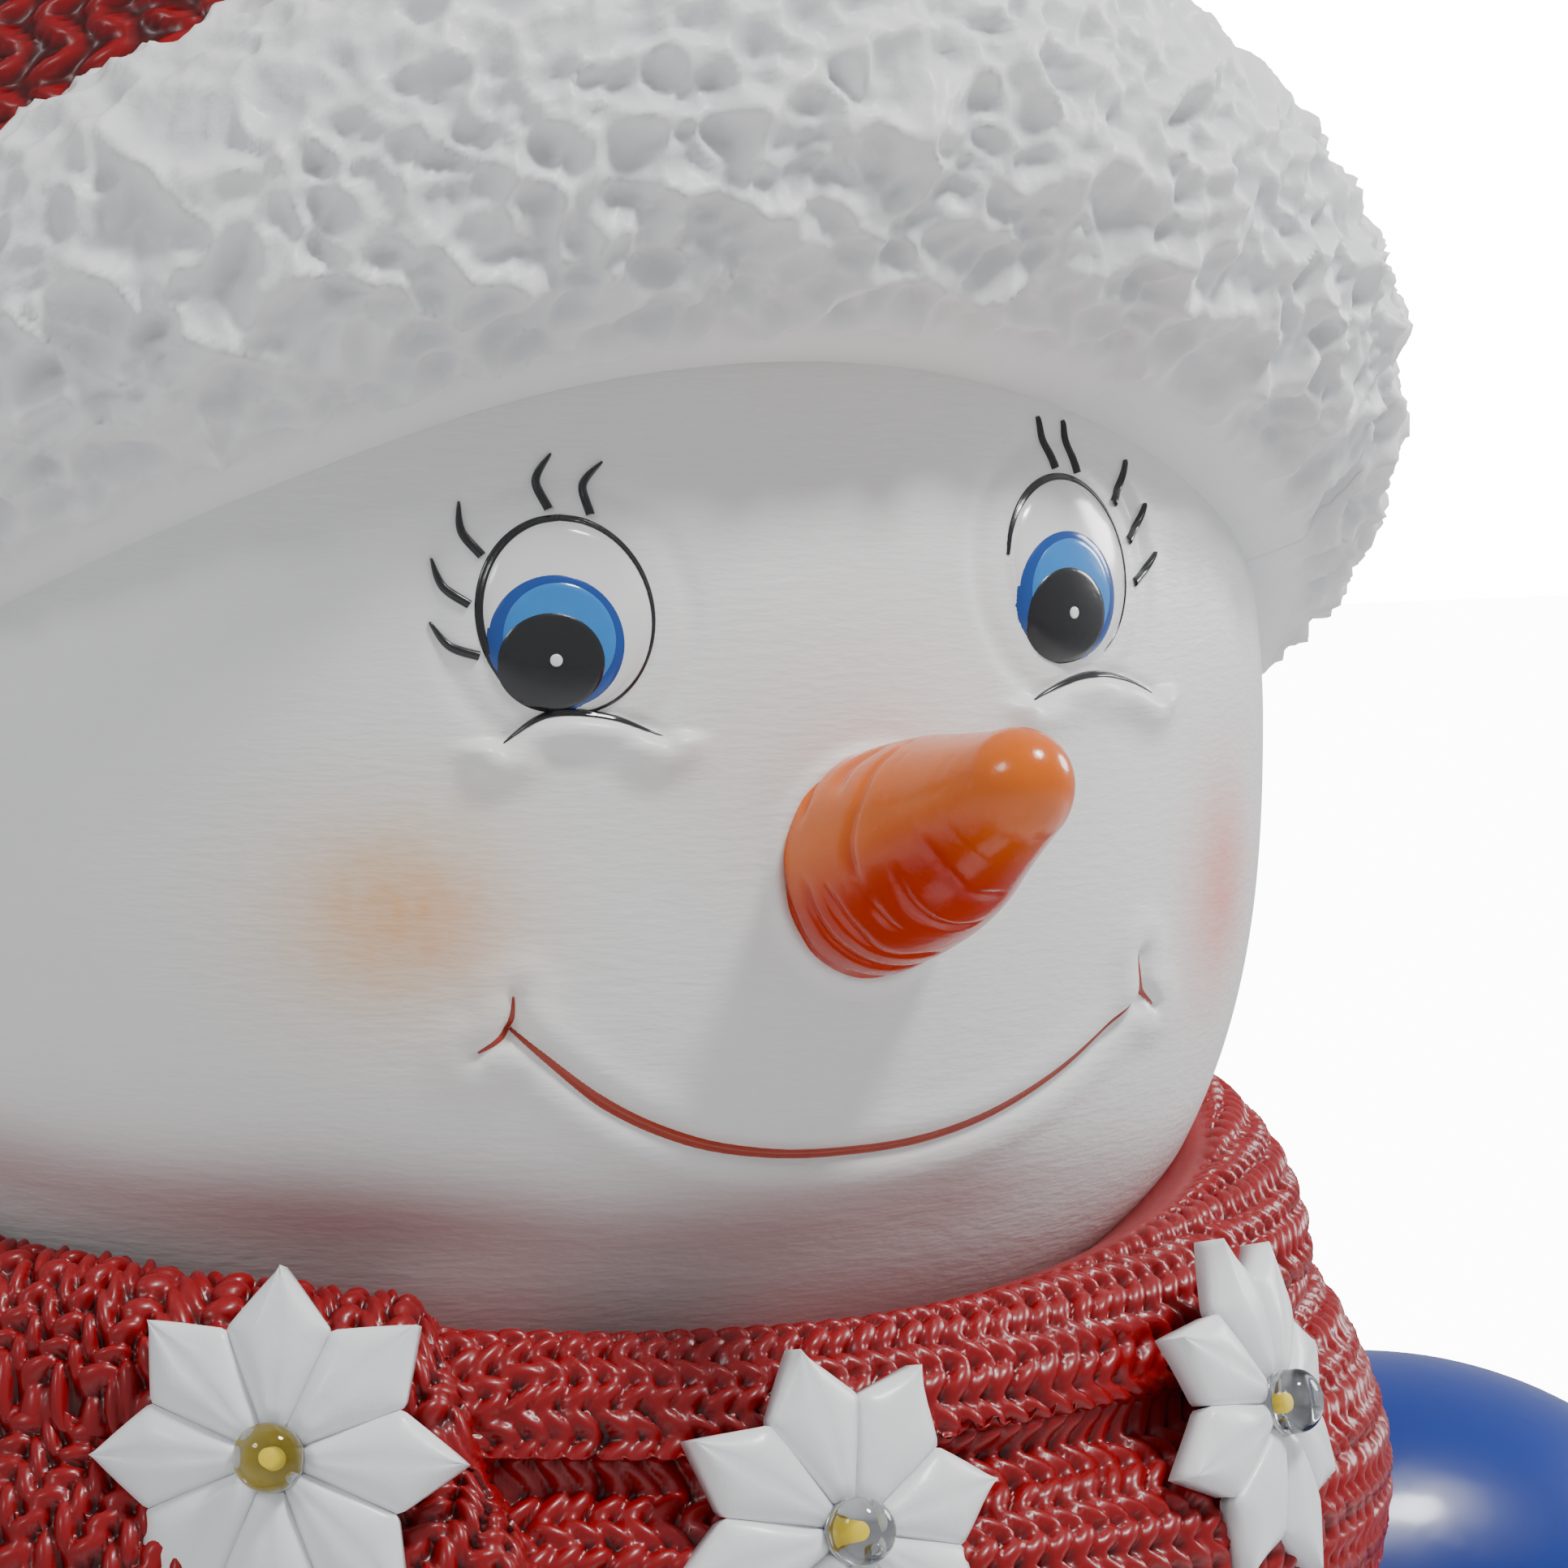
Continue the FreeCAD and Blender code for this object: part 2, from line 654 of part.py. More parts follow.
def case_screw_places():
    """Heads outside the flange, shanks pointing into the figure."""
    inward = Placement(Vector(), Rotation(Vector(1, 0, 0), 180))
    return [
        case_frame(f"{sx} * dims.case_screw_x", f"{sy} * dims.case_screw_y", "0").multiply(inward)
        for sx in (-1, 1)
        for sy in (-1, 1)
    ]


def hem_trim(coat, lower):
    """Fur roll round the hem, cut to sit on the coat and clear of the snowball."""
    low, high = f"{COAT_HEM} - dims.hem_drop", f"{COAT_HEM} - dims.hem_drop + dims.hem_height"
    roll = stack(
        "hem_roll",
        [
            ("dims.coat_hem_radius + dims.hem_edge", low),
            ("dims.coat_hem_radius + dims.hem_bulge", f"({low} + {high}) / 2"),
            ("dims.coat_hem_radius + dims.hem_edge", high),
        ],
        "dims.body_ratio",
    )
    finished(cut("hem_ring", roll, coat, lower), "coat_hem_fur")


def buttons(coat):
    """Three buttons on the coat's front, each with a peg in the coat's wall."""
    blank = body("button")
    disc = sketch(blank, "XY_Plane", "button_disc")
    circle(disc, "0", "0", "dims.button_radius")
    pad(blank, disc, "dims.button_thick", "disc")
    stem = sketch(blank, "XY_Plane", "button_stem", "-dims.button_stem_length")
    circle(stem, "0", "0", "dims.button_stem_radius")
    pad(blank, stem, "dims.button_stem_length", "stem")
    eyes = sketch(blank, "XY_Plane", "button_eyes", "dims.button_thick")
    for sx in (-1, 1):
        for sy in (-1, 1):
            circle(eyes, f"{sx} * dims.button_eye_spread", f"{sy} * dims.button_eye_spread",
                   "dims.button_eye_radius")
    pocket(blank, eyes, "dims.button_thick - 2", "eyes")
    doc.recompute()
    places, tools = [], []
    for i in range(3):
        height = value(f"{SHOULDER} - dims.button_top_drop - {i} * dims.button_pitch")
        above, below = surface_point(coat, 0, height + 4), surface_point(coat, 0, height - 4)
        outward = Vector(1, 0, 0).cross(above - below)
        outward = outward if outward.y < 0 else -outward
        outward.normalize()
        place = facing(surface_point(coat, 0, height) - outward * value("dims.button_sink"), outward)
        places.append(place)
        tools.append(rod(f"button_seat{i}", "dims.button_radius + 2 * dims.peg_gap", "9", place))
        deep = place.multiply(Placement(Vector(0, 0, -value("dims.button_stem_length + 1")), Rotation()))
        tools.append(
            rod(
                f"button_hole{i}",
                "dims.button_stem_radius + dims.peg_gap",
                "dims.button_stem_length + 6",
                deep,
            )
        )
    finished(copies("button_set", blank, places), "coat_buttons")
    return tools


# ---------------------------------------------------------------- sleeves, cuffs and mittens
ARM_UP = Vector(0, -1, 0.3)  # which way a sleeve's, a cuff's and a mitten's own +Y leans


def arm_path():
    """Middle line of the figure's left sleeve, from inside the coat to the wrist."""
    shoulder = value(SHOULDER)
    return [
        Vector(88, 4, shoulder - 21),
        Vector(116, 2, shoulder - 10),
        Vector(141, -3, shoulder - 9),
        Vector(158, -13, shoulder - 28),
        Vector(163, -28, shoulder - 54),
        Vector(165, -50, shoulder - 78),
        Vector(166, -68, shoulder - 93),
    ]


def arm_parts(coat, scarf):
    points = arm_path()
    names = ["sleeve_radius - 8", "sleeve_radius", "sleeve_radius", "elbow_radius + 3", "elbow_radius",
             "wrist_radius + 4", "wrist_radius"]
    rings = []
    for i, (point, radius) in enumerate(zip(points, names)):
        ahead = points[min(i + 1, len(points) - 1)] - points[max(i - 1, 0)]
        ring = doc.addObject("Part::Circle", f"sleeve_ring{i}")
        ring.Placement = facing(point, ahead, ARM_UP)
        rings.append(bind(ring, Radius=f"dims.{radius}"))
    whole = loft("sleeve_whole", rings)
    left = cut("sleeve_left", whole, coat, scarf)
    finished(left, "left_sleeve")
    finished(mirror("sleeve_right", left), "right_sleeve")

    heading = points[-1] - points[-2]
    cuff = turned(
        "cuff",
        [
            ("0", "0"),
            ("dims.cuff_radius - 5", "0"),
            ("dims.cuff_radius - 1.2", "3.5"),
            ("dims.cuff_radius", "dims.cuff_length / 2"),
            ("dims.cuff_radius - 1.2", "dims.cuff_length - 3.5"),
            ("dims.cuff_radius - 5", "dims.cuff_length"),
            ("0", "dims.cuff_length"),
        ],
    )
    cuff.Placement = facing(points[-1], heading, ARM_UP)
    fitted = cut("cuff_left", cuff, coat)
    finished(fitted, "left_cuff_fur")
    finished(mirror("cuff_right", fitted), "right_cuff_fur")

    mitten = left_mitten(points[-1], heading)
    finished(mitten, "left_mitten")
    finished(mirror("mitten_right", mitten), "right_mitten")


def left_mitten(wrist, heading):
    """Palm and thumb as rounded lobes, cut flat where they leave the cuff."""
    base = facing(wrist, heading, ARM_UP)
    base = base.multiply(Placement(Vector(0, 0, value("dims.cuff_length")), Rotation()))
    quarter = Rotation(Vector(0, 0, 1), 90)
    palm = lobe(
        "palm",
        "dims.mitten_half_width",
        "dims.mitten_half_thick",
        "(0.62 * dims.mitten_length)",
        base.multiply(Placement(Vector(0, 0, value("0.38 * dims.mitten_length")), quarter)),
    )
    root = Vector(0, value("0.8 * dims.mitten_half_width"), value("0.34 * dims.mitten_length"))
    lean = Placement(root, Rotation(Vector(1, 0, 0), -38))
    thumb = lobe(
        "thumb", "dims.thumb_radius", "dims.thumb_radius", "(dims.thumb_length / 2)", base.multiply(lean)
    )
    behind = rod("mitten_cut", "3 * dims.mitten_half_width", "dims.mitten_length", base)
    behind.Placement = base.multiply(Placement(Vector(0, 0, -value("dims.mitten_length")), Rotation()))
    return cut("mitten_left", fuse("mitten_lobes", palm, thumb), behind)


# ---------------------------------------------------------------- head, carrot and hat
def head_outline(name, grow="0", low=0.0):
    """The head down to the neck, or down to low degrees below its middle."""
    if low == 0.0:
        low = -math.degrees(math.asin(value("dims.head_drop / dims.head_rz")))
    place = Placement(Vector(0, 0, value(HEAD)), Rotation())
    return lobe(
        name, f"(dims.head_rx + {grow})", f"(dims.head_ry + {grow})", f"(dims.head_rz + {grow})", place, low
    )


def nose_place():
    """Root of the carrot on the face, +Z along the carrot."""
    drop, aside = value("dims.nose_drop"), value("dims.nose_aside")
    share = (drop / value("dims.head_rz")) ** 2 + (aside / value("dims.head_rx")) ** 2
    depth = value("dims.head_ry") * math.sqrt(1 - share)
    slant = math.radians(value("dims.nose_rise"))
    heading = Vector(0, -math.cos(slant), math.sin(slant))
    return facing(Vector(aside, -depth, value(HEAD) - drop), heading)


def head_and_nose(outer):
    place = nose_place()
    inner = head_outline("head_inner", "-dims.casting_wall", -60.0)
    deep = place.multiply(Placement(Vector(0, 0, -value("dims.nose_peg_length")), Rotation()))
    socket = rod("nose_socket", "dims.nose_peg_radius + dims.peg_gap", "2 * dims.nose_peg_length",
                 place.multiply(Placement(Vector(0, 0, -value("dims.nose_peg_length + 1")), Rotation())))
    finished(cut("head_shell", outer, inner, socket), "head_casting")

    middle = "0.5 * (dims.nose_root_radius + dims.nose_tip_radius) + 0.6"
    sizes = [
        (-0.16, "dims.nose_root_radius"),
        (0.0, "dims.nose_root_radius"),
        (0.28, "0.93 * dims.nose_root_radius"),
        (0.63, middle),
        (1.0, "dims.nose_tip_radius"),
    ]
    rings = []
    for i, (share, radius) in enumerate(sizes):
        along = share * value("dims.nose_length")
        ring = doc.addObject("Part::Circle", f"nose_ring{i}")
        ring.Placement = place.multiply(Placement(Vector(0, 0, along), Rotation()))
        rings.append(bind(ring, Radius=radius))
    blunt = loft("nose_blunt", rings)
    doc.recompute()
    tip = place.multVec(Vector(0, 0, value("dims.nose_length")))
    rounding = value("0.85 * dims.nose_tip_radius")
    edges = [
        (i, rounding, rounding)
        for i, edge in enumerate(blunt.Shape.Edges, start=1)
        if (edge.CenterOfMass - tip).Length < 0.5
    ]
    carrot = doc.addObject("Part::Fillet", "nose_rounded")
    carrot.Base = blunt
    carrot.Edges = edges
    peg = rod("nose_peg", "dims.nose_peg_radius", "dims.nose_peg_length + 2", deep)
    finished(fuse("nose", cut("nose_seated", carrot, outer), peg), "carrot_nose")


def crown_path():
    """Centres, headings and radii of the knitted crown, which flops to the figure's right."""
    head = value(HEAD)
    radius = value("dims.crown_radius")
    return [
        # centre, degrees turned about X then Y, half width, half depth
        (Vector(0, 1, head + 27), 20, 0, radius, radius * 0.86),
        (Vector(0, 4, head + 60), 12, -2, 0.98 * radius, 0.85 * radius),
        (Vector(-2, 9, head + 98), 6, -6, 0.87 * radius, 0.76 * radius),
        (Vector(-10, 15, head + 131), 2, -20, 0.66 * radius, 0.60 * radius),
        (Vector(-30, 20, head + 156), 0, -48, 0.45 * radius, 0.44 * radius),
        (Vector(-57, 24, head + 163), 0, -84, 0.33 * radius, 0.33 * radius),
        (Vector(-80, 27, head + 150), 0, -120, 0.26 * radius, 0.26 * radius),
        (Vector(-92, 28, head + 131), 0, -152, 0.20 * radius, 0.20 * radius),
    ]


def crown_loft(name, grow, first=0, last=8):
    rings = []
    for i, (centre, about_x, about_y, wide, deep) in enumerate(crown_path()[first:last]):
        ring = doc.addObject("Part::Ellipse", f"{name}_ring{i}")
        turn = Rotation(Vector(0, 1, 0), about_y).multiply(Rotation(Vector(1, 0, 0), -about_x))
        ring.Placement = Placement(centre, turn)
        ring.MajorRadius = wide + grow
        ring.MinorRadius = deep + grow
        rings.append(ring)
    return loft(name, rings)


def hat_parts(head):
    crown = crown_loft("crown_outer", 0.0)
    hollow = crown_loft("crown_hollow", -value("dims.crown_wall"), 1, 6)
    finished(cut("crown_shell", crown, head, hollow), "hat_crown")

    rings = []
    count = 16
    for i in range(count):
        turn = 2 * math.pi * i / count
        sine, cosine = math.sin(turn), math.cos(turn)
        middle = Vector(
            value("dims.trim_path_x") * sine,
            value("dims.trim_path_shift") - value("dims.trim_path_y") * cosine,
            value(f"{HEAD} + dims.trim_mean_height")
            + value("dims.trim_front_lift") * cosine
            + value("dims.trim_arch") * math.cos(2 * turn),
        )
        ring = doc.addObject("Part::Ellipse", f"trim_ring{i}")
        across = Vector(math.cos(turn), math.sin(turn), 0)
        out = Vector(sine, -cosine, 0)
        ring.Placement = Placement(middle, Rotation(Vector(0, 0, 1), out, across, "XZY"))
        rings.append(bind(ring, MajorRadius="dims.trim_half_height", MinorRadius="dims.trim_half_thick"))
    half = count // 2
    right_half = loft("trim_right", rings[half:] + rings[:1])
    roll = fuse("trim_roll", loft("trim_left", rings[: half + 1]), right_half)
    finished(cut("trim_ring", roll, crown, head), "hat_trim_fur")

    end, _, about_y, _, _ = crown_path()[-1]
    heading = Rotation(Vector(0, 1, 0), about_y).multVec(Vector(0, 0, 1))
    ball = doc.addObject("Part::Sphere", "pompom_ball")
    bind(ball, Radius="dims.pompom_radius")
    ball.Placement = Placement(end + heading * (0.86 * value("dims.pompom_radius")), Rotation())
    finished(cut("pompom", ball, crown), "hat_pompom")


# ---------------------------------------------------------------- scarf
# (radius, share of the roll's height) up each of the scarf's two rolls
LOWER_ROLL = [
    ("dims.scarf_foot_radius", 0.0),
    ("dims.scarf_roll_radius - 1.5", 0.28),
    ("dims.scarf_roll_radius", 0.52),
    ("dims.scarf_roll_radius - 2.7", 0.78),
    ("dims.scarf_roll_radius - 11", 0.93),
    ("dims.scarf_lip_radius", 1.0),
]
UPPER_ROLL = [
    ("dims.scarf_lip_radius", -0.5),
    ("dims.scarf_upper_radius - 5", -0.32),
    ("dims.scarf_upper_radius", 0.0),
    ("dims.scarf_upper_radius - 6.5", 0.33),
    ("dims.scarf_lip_radius", 0.5),
]


def scarf_outline():
    """A level lower roll and an upper one that dips in front."""
    lower = stack(
        "scarf_lower",
        [(radius, f"{SHOULDER} + {share} * dims.scarf_roll_height") for radius, share in LOWER_ROLL],
        "dims.body_ratio",
    )
    upper = stack(
        "scarf_upper",
        [(radius, f"{share} * dims.scarf_upper_height") for radius, share in UPPER_ROLL],
        "dims.body_ratio",
    )
    turn = Rotation(Vector(1, 0, 0), value("dims.scarf_tilt")).multiply(Rotation(Vector(0, 0, 1), 180))
    upper.Placement = Placement(Vector(), turn)
    bind(upper, Placement__Base__z=f"{SHOULDER} + dims.scarf_upper_rise")
    return fuse("scarf_outer", lower, upper)


def strip(name, inner_reach, width, low, high):
    """A flat-sided block at the hanging end's azimuth, from inner_reach outwards."""
    obj = doc.addObject("Part::Box", name)
    bind(obj, Length=FAR, Width=width, Height=f"({high}) - ({low})")
    turn = Rotation(Vector(0, 0, 1), value("dims.tail_azimuth") - 90)
    corner = turn.multVec(Vector(inner_reach, -value(width) / 2, 0))
    obj.Placement = Placement(corner + Vector(0, 0, value(low)), turn)
    return obj


def overlap_band():
    """The crossing end's own profile, drawn in the plane of its azimuth and as wide as the end."""
    turn = math.radians(value("dims.tail_azimuth"))
    reach = 1 / math.hypot(math.sin(turn), math.cos(turn) / value("dims.body_ratio"))
    dip = f"{math.cos(turn) * math.sin(math.radians(value('dims.scarf_tilt'))):.5f}"
    outline = [("dims.neck_radius", SHOULDER)]
    for radius, share in LOWER_ROLL[:4]:
        height = f"{SHOULDER} + {share} * dims.scarf_roll_height"
        outline.append((f"{reach:.5f} * ({radius}) + dims.overlap_thick", height))
    for radius, share in UPPER_ROLL[2:]:
        out = f"{reach:.5f} * ({radius})"
        height = f"{SHOULDER} + dims.scarf_upper_rise + {share} * dims.scarf_upper_height - {out} * {dip}"
        outline.append((f"{out} + {0.75 - 0.5 * share} * dims.overlap_thick", height))
    outline.append(("dims.neck_radius", outline[-1][1]))
    band = body("overlap_band")
    side = sketch(band, "XZ_Plane", "overlap_profile", "-dims.tail_width / 2")
    polygon(side, outline)
    pad(band, side, "dims.tail_width")
    band.Placement = Placement(Vector(), Rotation(Vector(0, 0, 1), value("dims.tail_azimuth") - 90))
    return band


def scarf_blanks(scarf, coat, head):
    """The wound part, the end where it crosses it, and the hanging end, before the lamps are cut in."""
    void = stack(
        "scarf_void",
        [
            ("dims.scarf_foot_radius", SHOULDER),
            ("dims.scarf_foot_radius - 3", f"{SHOULDER} + dims.scarf_void_height"),
        ],
        "dims.body_ratio",
        "-dims.scarf_wall",
    )
    neck_room = stack(
        "neck_room",
        [("dims.neck_radius", SHOULDER), ("dims.neck_radius", f"{NECK_TOP} + 2 * dims.peg_gap")],
        "dims.body_ratio",
        "2 * dims.peg_gap",
    )
    wound = cut("scarf_wound", scarf, void, neck_room, head)
    overlap = cut("overlap_skin", overlap_band(), scarf, head)
    thick = coat_outline("coat_raised", "dims.tail_thick")
    hang = strip("tail_block", 40, "dims.tail_width", f"{SHOULDER} - dims.tail_length", SHOULDER)
    tail = cut("tail_skin", common("tail_strip", thick, hang), coat)
    return wound, overlap, tail


def fringe(coat):
    """Seven tassels under the hanging end."""
    tassel = turned(
        "tassel",
        [
            ("0", "0"),
            ("0.7 * dims.fringe_radius", "0"),
            ("dims.fringe_radius", "-0.25 * dims.fringe_length"),
            ("dims.fringe_radius", "-dims.fringe_length"),
            ("0", "-dims.fringe_length"),
        ],
    )
    height = value(f"{SHOULDER} - dims.tail_length")
    azimuth = value("dims.tail_azimuth")
    places = []
    for i in range(-3, 4):
        swing = math.degrees(i * value("dims.fringe_pitch") / value("0.93 * dims.coat_belly_radius"))
        here = surface_point(coat, azimuth + swing, height)
        out = Vector(here.x, here.y, 0).normalize()
        spot = here + out * value("0.64 * dims.tail_thick")
        places.append(Placement(spot, Rotation()))
    finished(copies("tassel_set", tassel, places), "scarf_fringe")


# ---------------------------------------------------------------- snowflakes, lamps and wiring
# azimuth of the ray that finds the seat, azimuth and rise of the lamp's axis, height against the shoulder
STATIONS = [
    ("overlap", -40.7, -38, 12, 51),
    ("wrap", -3.4, -2, 10, 39.5),
    ("wrap", 37, 34, 12, 46),
    ("tail", -41, -39, 12, -42),
    ("tail", -41, -39, 5, -98),
]


def snowflake_blank():
    """Eight-petalled plate with grooves between the petals and a tube behind."""
    flake = body("flake")
    star = sketch(flake, "XY_Plane", "flake_star")
    points = []
    for i in range(16):
        turn = math.radians(22.5 * i + 90)
        radius = "dims.flake_radius" if i % 2 == 0 else "dims.flake_waist_radius"
        points.append((f"{radius} * {math.cos(turn):.6f}", f"{radius} * {math.sin(turn):.6f}"))
    polygon(star, points)
    pad(flake, star, "dims.flake_thick", "plate")
    groove = sketch(flake, "XY_Plane", "flake_groove", "dims.flake_thick")
    reach = "dims.flake_waist_radius + 1"
    start = "dims.lamp_radius + 2"
    polygon(groove, [(start, "-0.35"), (reach, "-1"), (reach, "1"), (start, "0.35")])
    groove.AttachmentOffset = Placement(Vector(), Rotation(Vector(0, 0, 1), 22.5))
    groove.setExpression("AttachmentOffset.Base.z", "dims.flake_thick")
    first = pocket(flake, groove, "dims.flake_groove", "groove")
    ring = flake.newObject("PartDesign::PolarPattern", "flake_grooves")
    ring.Originals = [first]
    ring.Axis = (groove, ["N_Axis"])
    ring.Angle = 360.0
    ring.Occurrences = 8
    flake.Tip = ring
    spigot = sketch(flake, "XY_Plane", "flake_spigot", "-dims.spigot_length")
    circle(spigot, "0", "0", "dims.spigot_radius")
    pad(flake, spigot, "dims.spigot_length", "spigot")
    hole = sketch(flake, "XY_Plane", "flake_hole", "dims.flake_thick")
    circle(hole, "0", "0", "dims.lamp_radius + dims.lamp_play")
    pocket(flake, hole, "2 * dims.flake_thick", "hole")
    counter = sketch(flake, "XY_Plane", "flake_counter")
    circle(counter, "0", "0", "dims.lamp_flange_radius + dims.lamp_play")
    pocket(flake, counter, "2 * dims.spigot_length", "counter")
    return flake


def lamp_blank():
    """Clear lamp with its rim and two legs; z = 0 is the face of the rim against the plate."""
    lamp = turned(
        "lamp",
        [
            ("0", "-dims.lamp_flange_height"),
            ("dims.lamp_flange_radius", "-dims.lamp_flange_height"),
            ("dims.lamp_flange_radius", "0"),
            ("dims.lamp_radius", "0"),
            ("dims.lamp_radius", "dims.lamp_height - 2.4"),
            ("0.86 * dims.lamp_radius", "dims.lamp_height - 1.2"),
            ("0.5 * dims.lamp_radius", "dims.lamp_height - 0.3"),
            ("0", "dims.lamp_height"),
        ],
    )
    legs = sketch(lamp, "XY_Plane", "lamp_legs", "-dims.lamp_flange_height - dims.pin_length")
    circle(legs, "-1.27", "0", "dims.pin_radius")
    circle(legs, "1.27", "0", "dims.pin_radius")
    pad(lamp, legs, "dims.pin_length", "legs")
    return lamp


def station_places(hosts):
    """The seat of each snowflake: its origin on the seat, +Z outwards."""
    places = []
    for host, ray, azimuth, rise, height in STATIONS:
        here = surface_point(hosts[host], ray, value(f"{SHOULDER} + {height}"))
        turn, lift = math.radians(azimuth), math.radians(rise)
        out = Vector(math.sin(turn) * math.cos(lift), -math.cos(turn) * math.cos(lift), math.sin(lift))
        places.append(facing(here - out * value("dims.flake_sink"), out))
    return places


def station_tools(places):
    """What each snowflake needs taken out of whatever it sits on."""
    tools = []
    for i, place in enumerate(places):
        seat = rod(f"flake_seat{i}", "dims.flake_radius + 0.8", "30", place)
        inward = place.multiply(Placement(Vector(0, 0, -60), Rotation()))
        bore = rod(f"flake_bore{i}", "dims.spigot_radius + dims.peg_gap", "60", inward)
        tools.append((seat, bore))
    return tools


def lamps_and_flakes(places):
    flake, lamp = snowflake_blank(), lamp_blank()
    doc.recompute()
    for i, place in enumerate(places, start=1):
        finished(copies(f"flake_at{i}", flake, [place]), f"snowflake_{i}")
        finished(copies(f"lamp_at{i}", lamp, [place]), f"lamp_{i}")
    sleeve_tube = body("shrink_tube")
    ring = sketch(sleeve_tube, "XY_Plane", "shrink_ring")
    circle(ring, "0", "0", "dims.sleeve_tube_radius")
    pad(sleeve_tube, ring, "dims.sleeve_tube_length")
    back = -value("dims.lamp_flange_height + dims.pin_length + dims.sleeve_tube_length")
    spots = [p.multiply(Placement(Vector(0, 0, back), Rotation())) for p in places]
    finished(copies("shrink_tubes", sleeve_tube, spots), "lamp_shrink_sleeves")
    return spots


# each wire's bearing round the joint sleeve, in degrees, chosen so that no two wires cross
WIRE_BEARINGS = [-118, -75, -30, 150, -165]


def wire_routes(starts):
    """Each lamp's wire runs straight in, turns down the middle of the figure and meets the joint sleeve."""
    top = value(f"{COAT_HEM} + dims.joint_top")
    routes = []
    for start, bearing in zip(starts, WIRE_BEARINGS):
        turn = math.radians(bearing)
        aside = Vector(math.cos(turn), math.sin(turn), 0)
        foot = aside * value("dims.joint_radius - 2.5 * dims.wire_radius") + Vector(0, 0, top)
        above = foot + Vector(0, 0, value("dims.joint_length"))
        inward = start.Rotation.multVec(Vector(0, 0, -1))
        inner = start.Base + inward * (0.72 * math.hypot(start.Base.x, start.Base.y))
        routes.append([start.Base, inner, above, foot])
    return routes


def wiring(routes):
    wires = [tube(route, value("dims.wire_radius")) for route in routes]
    finished(feature("wire_set", Part.Compound(wires)), "lamp_wires")
    top = value(f"{COAT_HEM} + dims.joint_top")
    joint = body("joint")
    ring = sketch(joint, "XY_Plane", "joint_ring")
    circle(ring, "0", "0", "dims.joint_radius")
    pad(joint, ring, "dims.joint_length")
    joint.Placement = Placement(Vector(0, 0, top - value("dims.joint_length")), Rotation())
    finished(joint, "wire_joint_sleeve")


def main_lead(plug_mouth):
    """From under the joint sleeve, in one loose loop, into the plug on the timer board."""
    low = value(f"{COAT_HEM} + dims.joint_top - dims.joint_length")
    points = [
        Vector(0, 0, low),
        Vector(0, 0, low - 36),
        Vector(-10, 24, low - 62),
        Vector(-24, 54, low - 38),
        Vector(plug_mouth.x, plug_mouth.y - 26, plug_mouth.z),
        plug_mouth,
    ]
    finished(feature("lead_tube", tube(points, value("dims.lead_radius"))), "battery_lead")


# ---------------------------------------------------------------- battery case
def knuckle(owner, name, start, length):
    """A round knuckle on the hinge line, from start along X."""
    ring = sketch(owner, "YZ_Plane", name, start)
    circle(ring, HINGE_UP, HINGE_OUT, "dims.knuckle_radius")
    pad(owner, ring, length, name + "_pad")


def pin_bore(owner, name, room):
    """The hinge pin's hole, right through owner."""
    bore = sketch(owner, "YZ_Plane", name, f"{WELL_MID} + dims.knuckle_spread + dims.knuckle_length")
    circle(bore, HINGE_UP, HINGE_OUT, f"dims.hinge_pin_radius + {room}")
    pocket(owner, bore, "2 * (dims.knuckle_spread + dims.knuckle_length)", name + "_cut")


def case_body():
    """Flange, battery well, open-backed electronics bay, switch slot and two fixed knuckles."""
    case = body("case")
    flange = sketch(case, "XY_Plane", "case_flange", "-dims.panel_thick")
    rectangle(flange, "0", "0", "dims.panel_width", "dims.panel_tall")
    pad(case, flange, "dims.panel_thick", "flange")
    tub = sketch(case, "XY_Plane", "case_tub", f"-{TUB_DEPTH}")
    rectangle(tub, TUB_MID, "0", TUB_WIDTH, TUB_TALL)
    pad(case, tub, f"{TUB_DEPTH} - dims.panel_thick / 2", "tub")
    for side in (-1, 1):
        start = f"{WELL_MID} + {side} * dims.knuckle_spread - dims.knuckle_length / 2"
        label = "case_knuckle" + ("_right" if side > 0 else "_left")
        knuckle(case, label, start, "dims.knuckle_length")
        foot = sketch(case, "YZ_Plane", label + "_foot", start)
        rectangle(foot, HINGE_UP, f"({HINGE_OUT} - 0.5) / 2", "2 * dims.knuckle_radius", f"{HINGE_OUT} + 0.5")
        pad(case, foot, "dims.knuckle_length", label + "_foot_pad")
    well = sketch(case, "XY_Plane", "case_well")
    rectangle(well, WELL_MID, "0", WELL_LENGTH, WELL_TALL)
    pocket(case, well, "dims.well_depth", "well")
    bay = sketch(case, "XY_Plane", "case_bay", f"-{TUB_DEPTH}")
    rectangle(bay, BAY_MID, "0", "dims.bay_width", WELL_TALL)
    pocket(case, bay, f"{TUB_DEPTH} - dims.panel_thick", "bay", reverse=True)
    slot = sketch(case, "XY_Plane", "case_slot")
    rectangle(
        slot,
        BAY_MID,
        "dims.slider_up",
        "dims.slider_width + 2 * dims.slider_travel + 2 * dims.slider_play",
        "dims.slider_tall + 2 * dims.slider_play",
    )
    pocket(case, slot, "dims.panel_thick", "slot")
    holes = sketch(case, "XY_Plane", "case_screw_holes")
    for sx in (-1, 1):
        for sy in (-1, 1):
            circle(holes, f"{sx} * dims.case_screw_x", f"{sy} * dims.case_screw_y",
                   "dims.screw_radius + dims.screw_play")
    pocket(case, holes, "dims.panel_thick", "screw_holes")
    pin_bore(case, "case_pin_bore", "dims.hinge_grip")
    case.Placement = case_frame()
    finished(case, "battery_case")


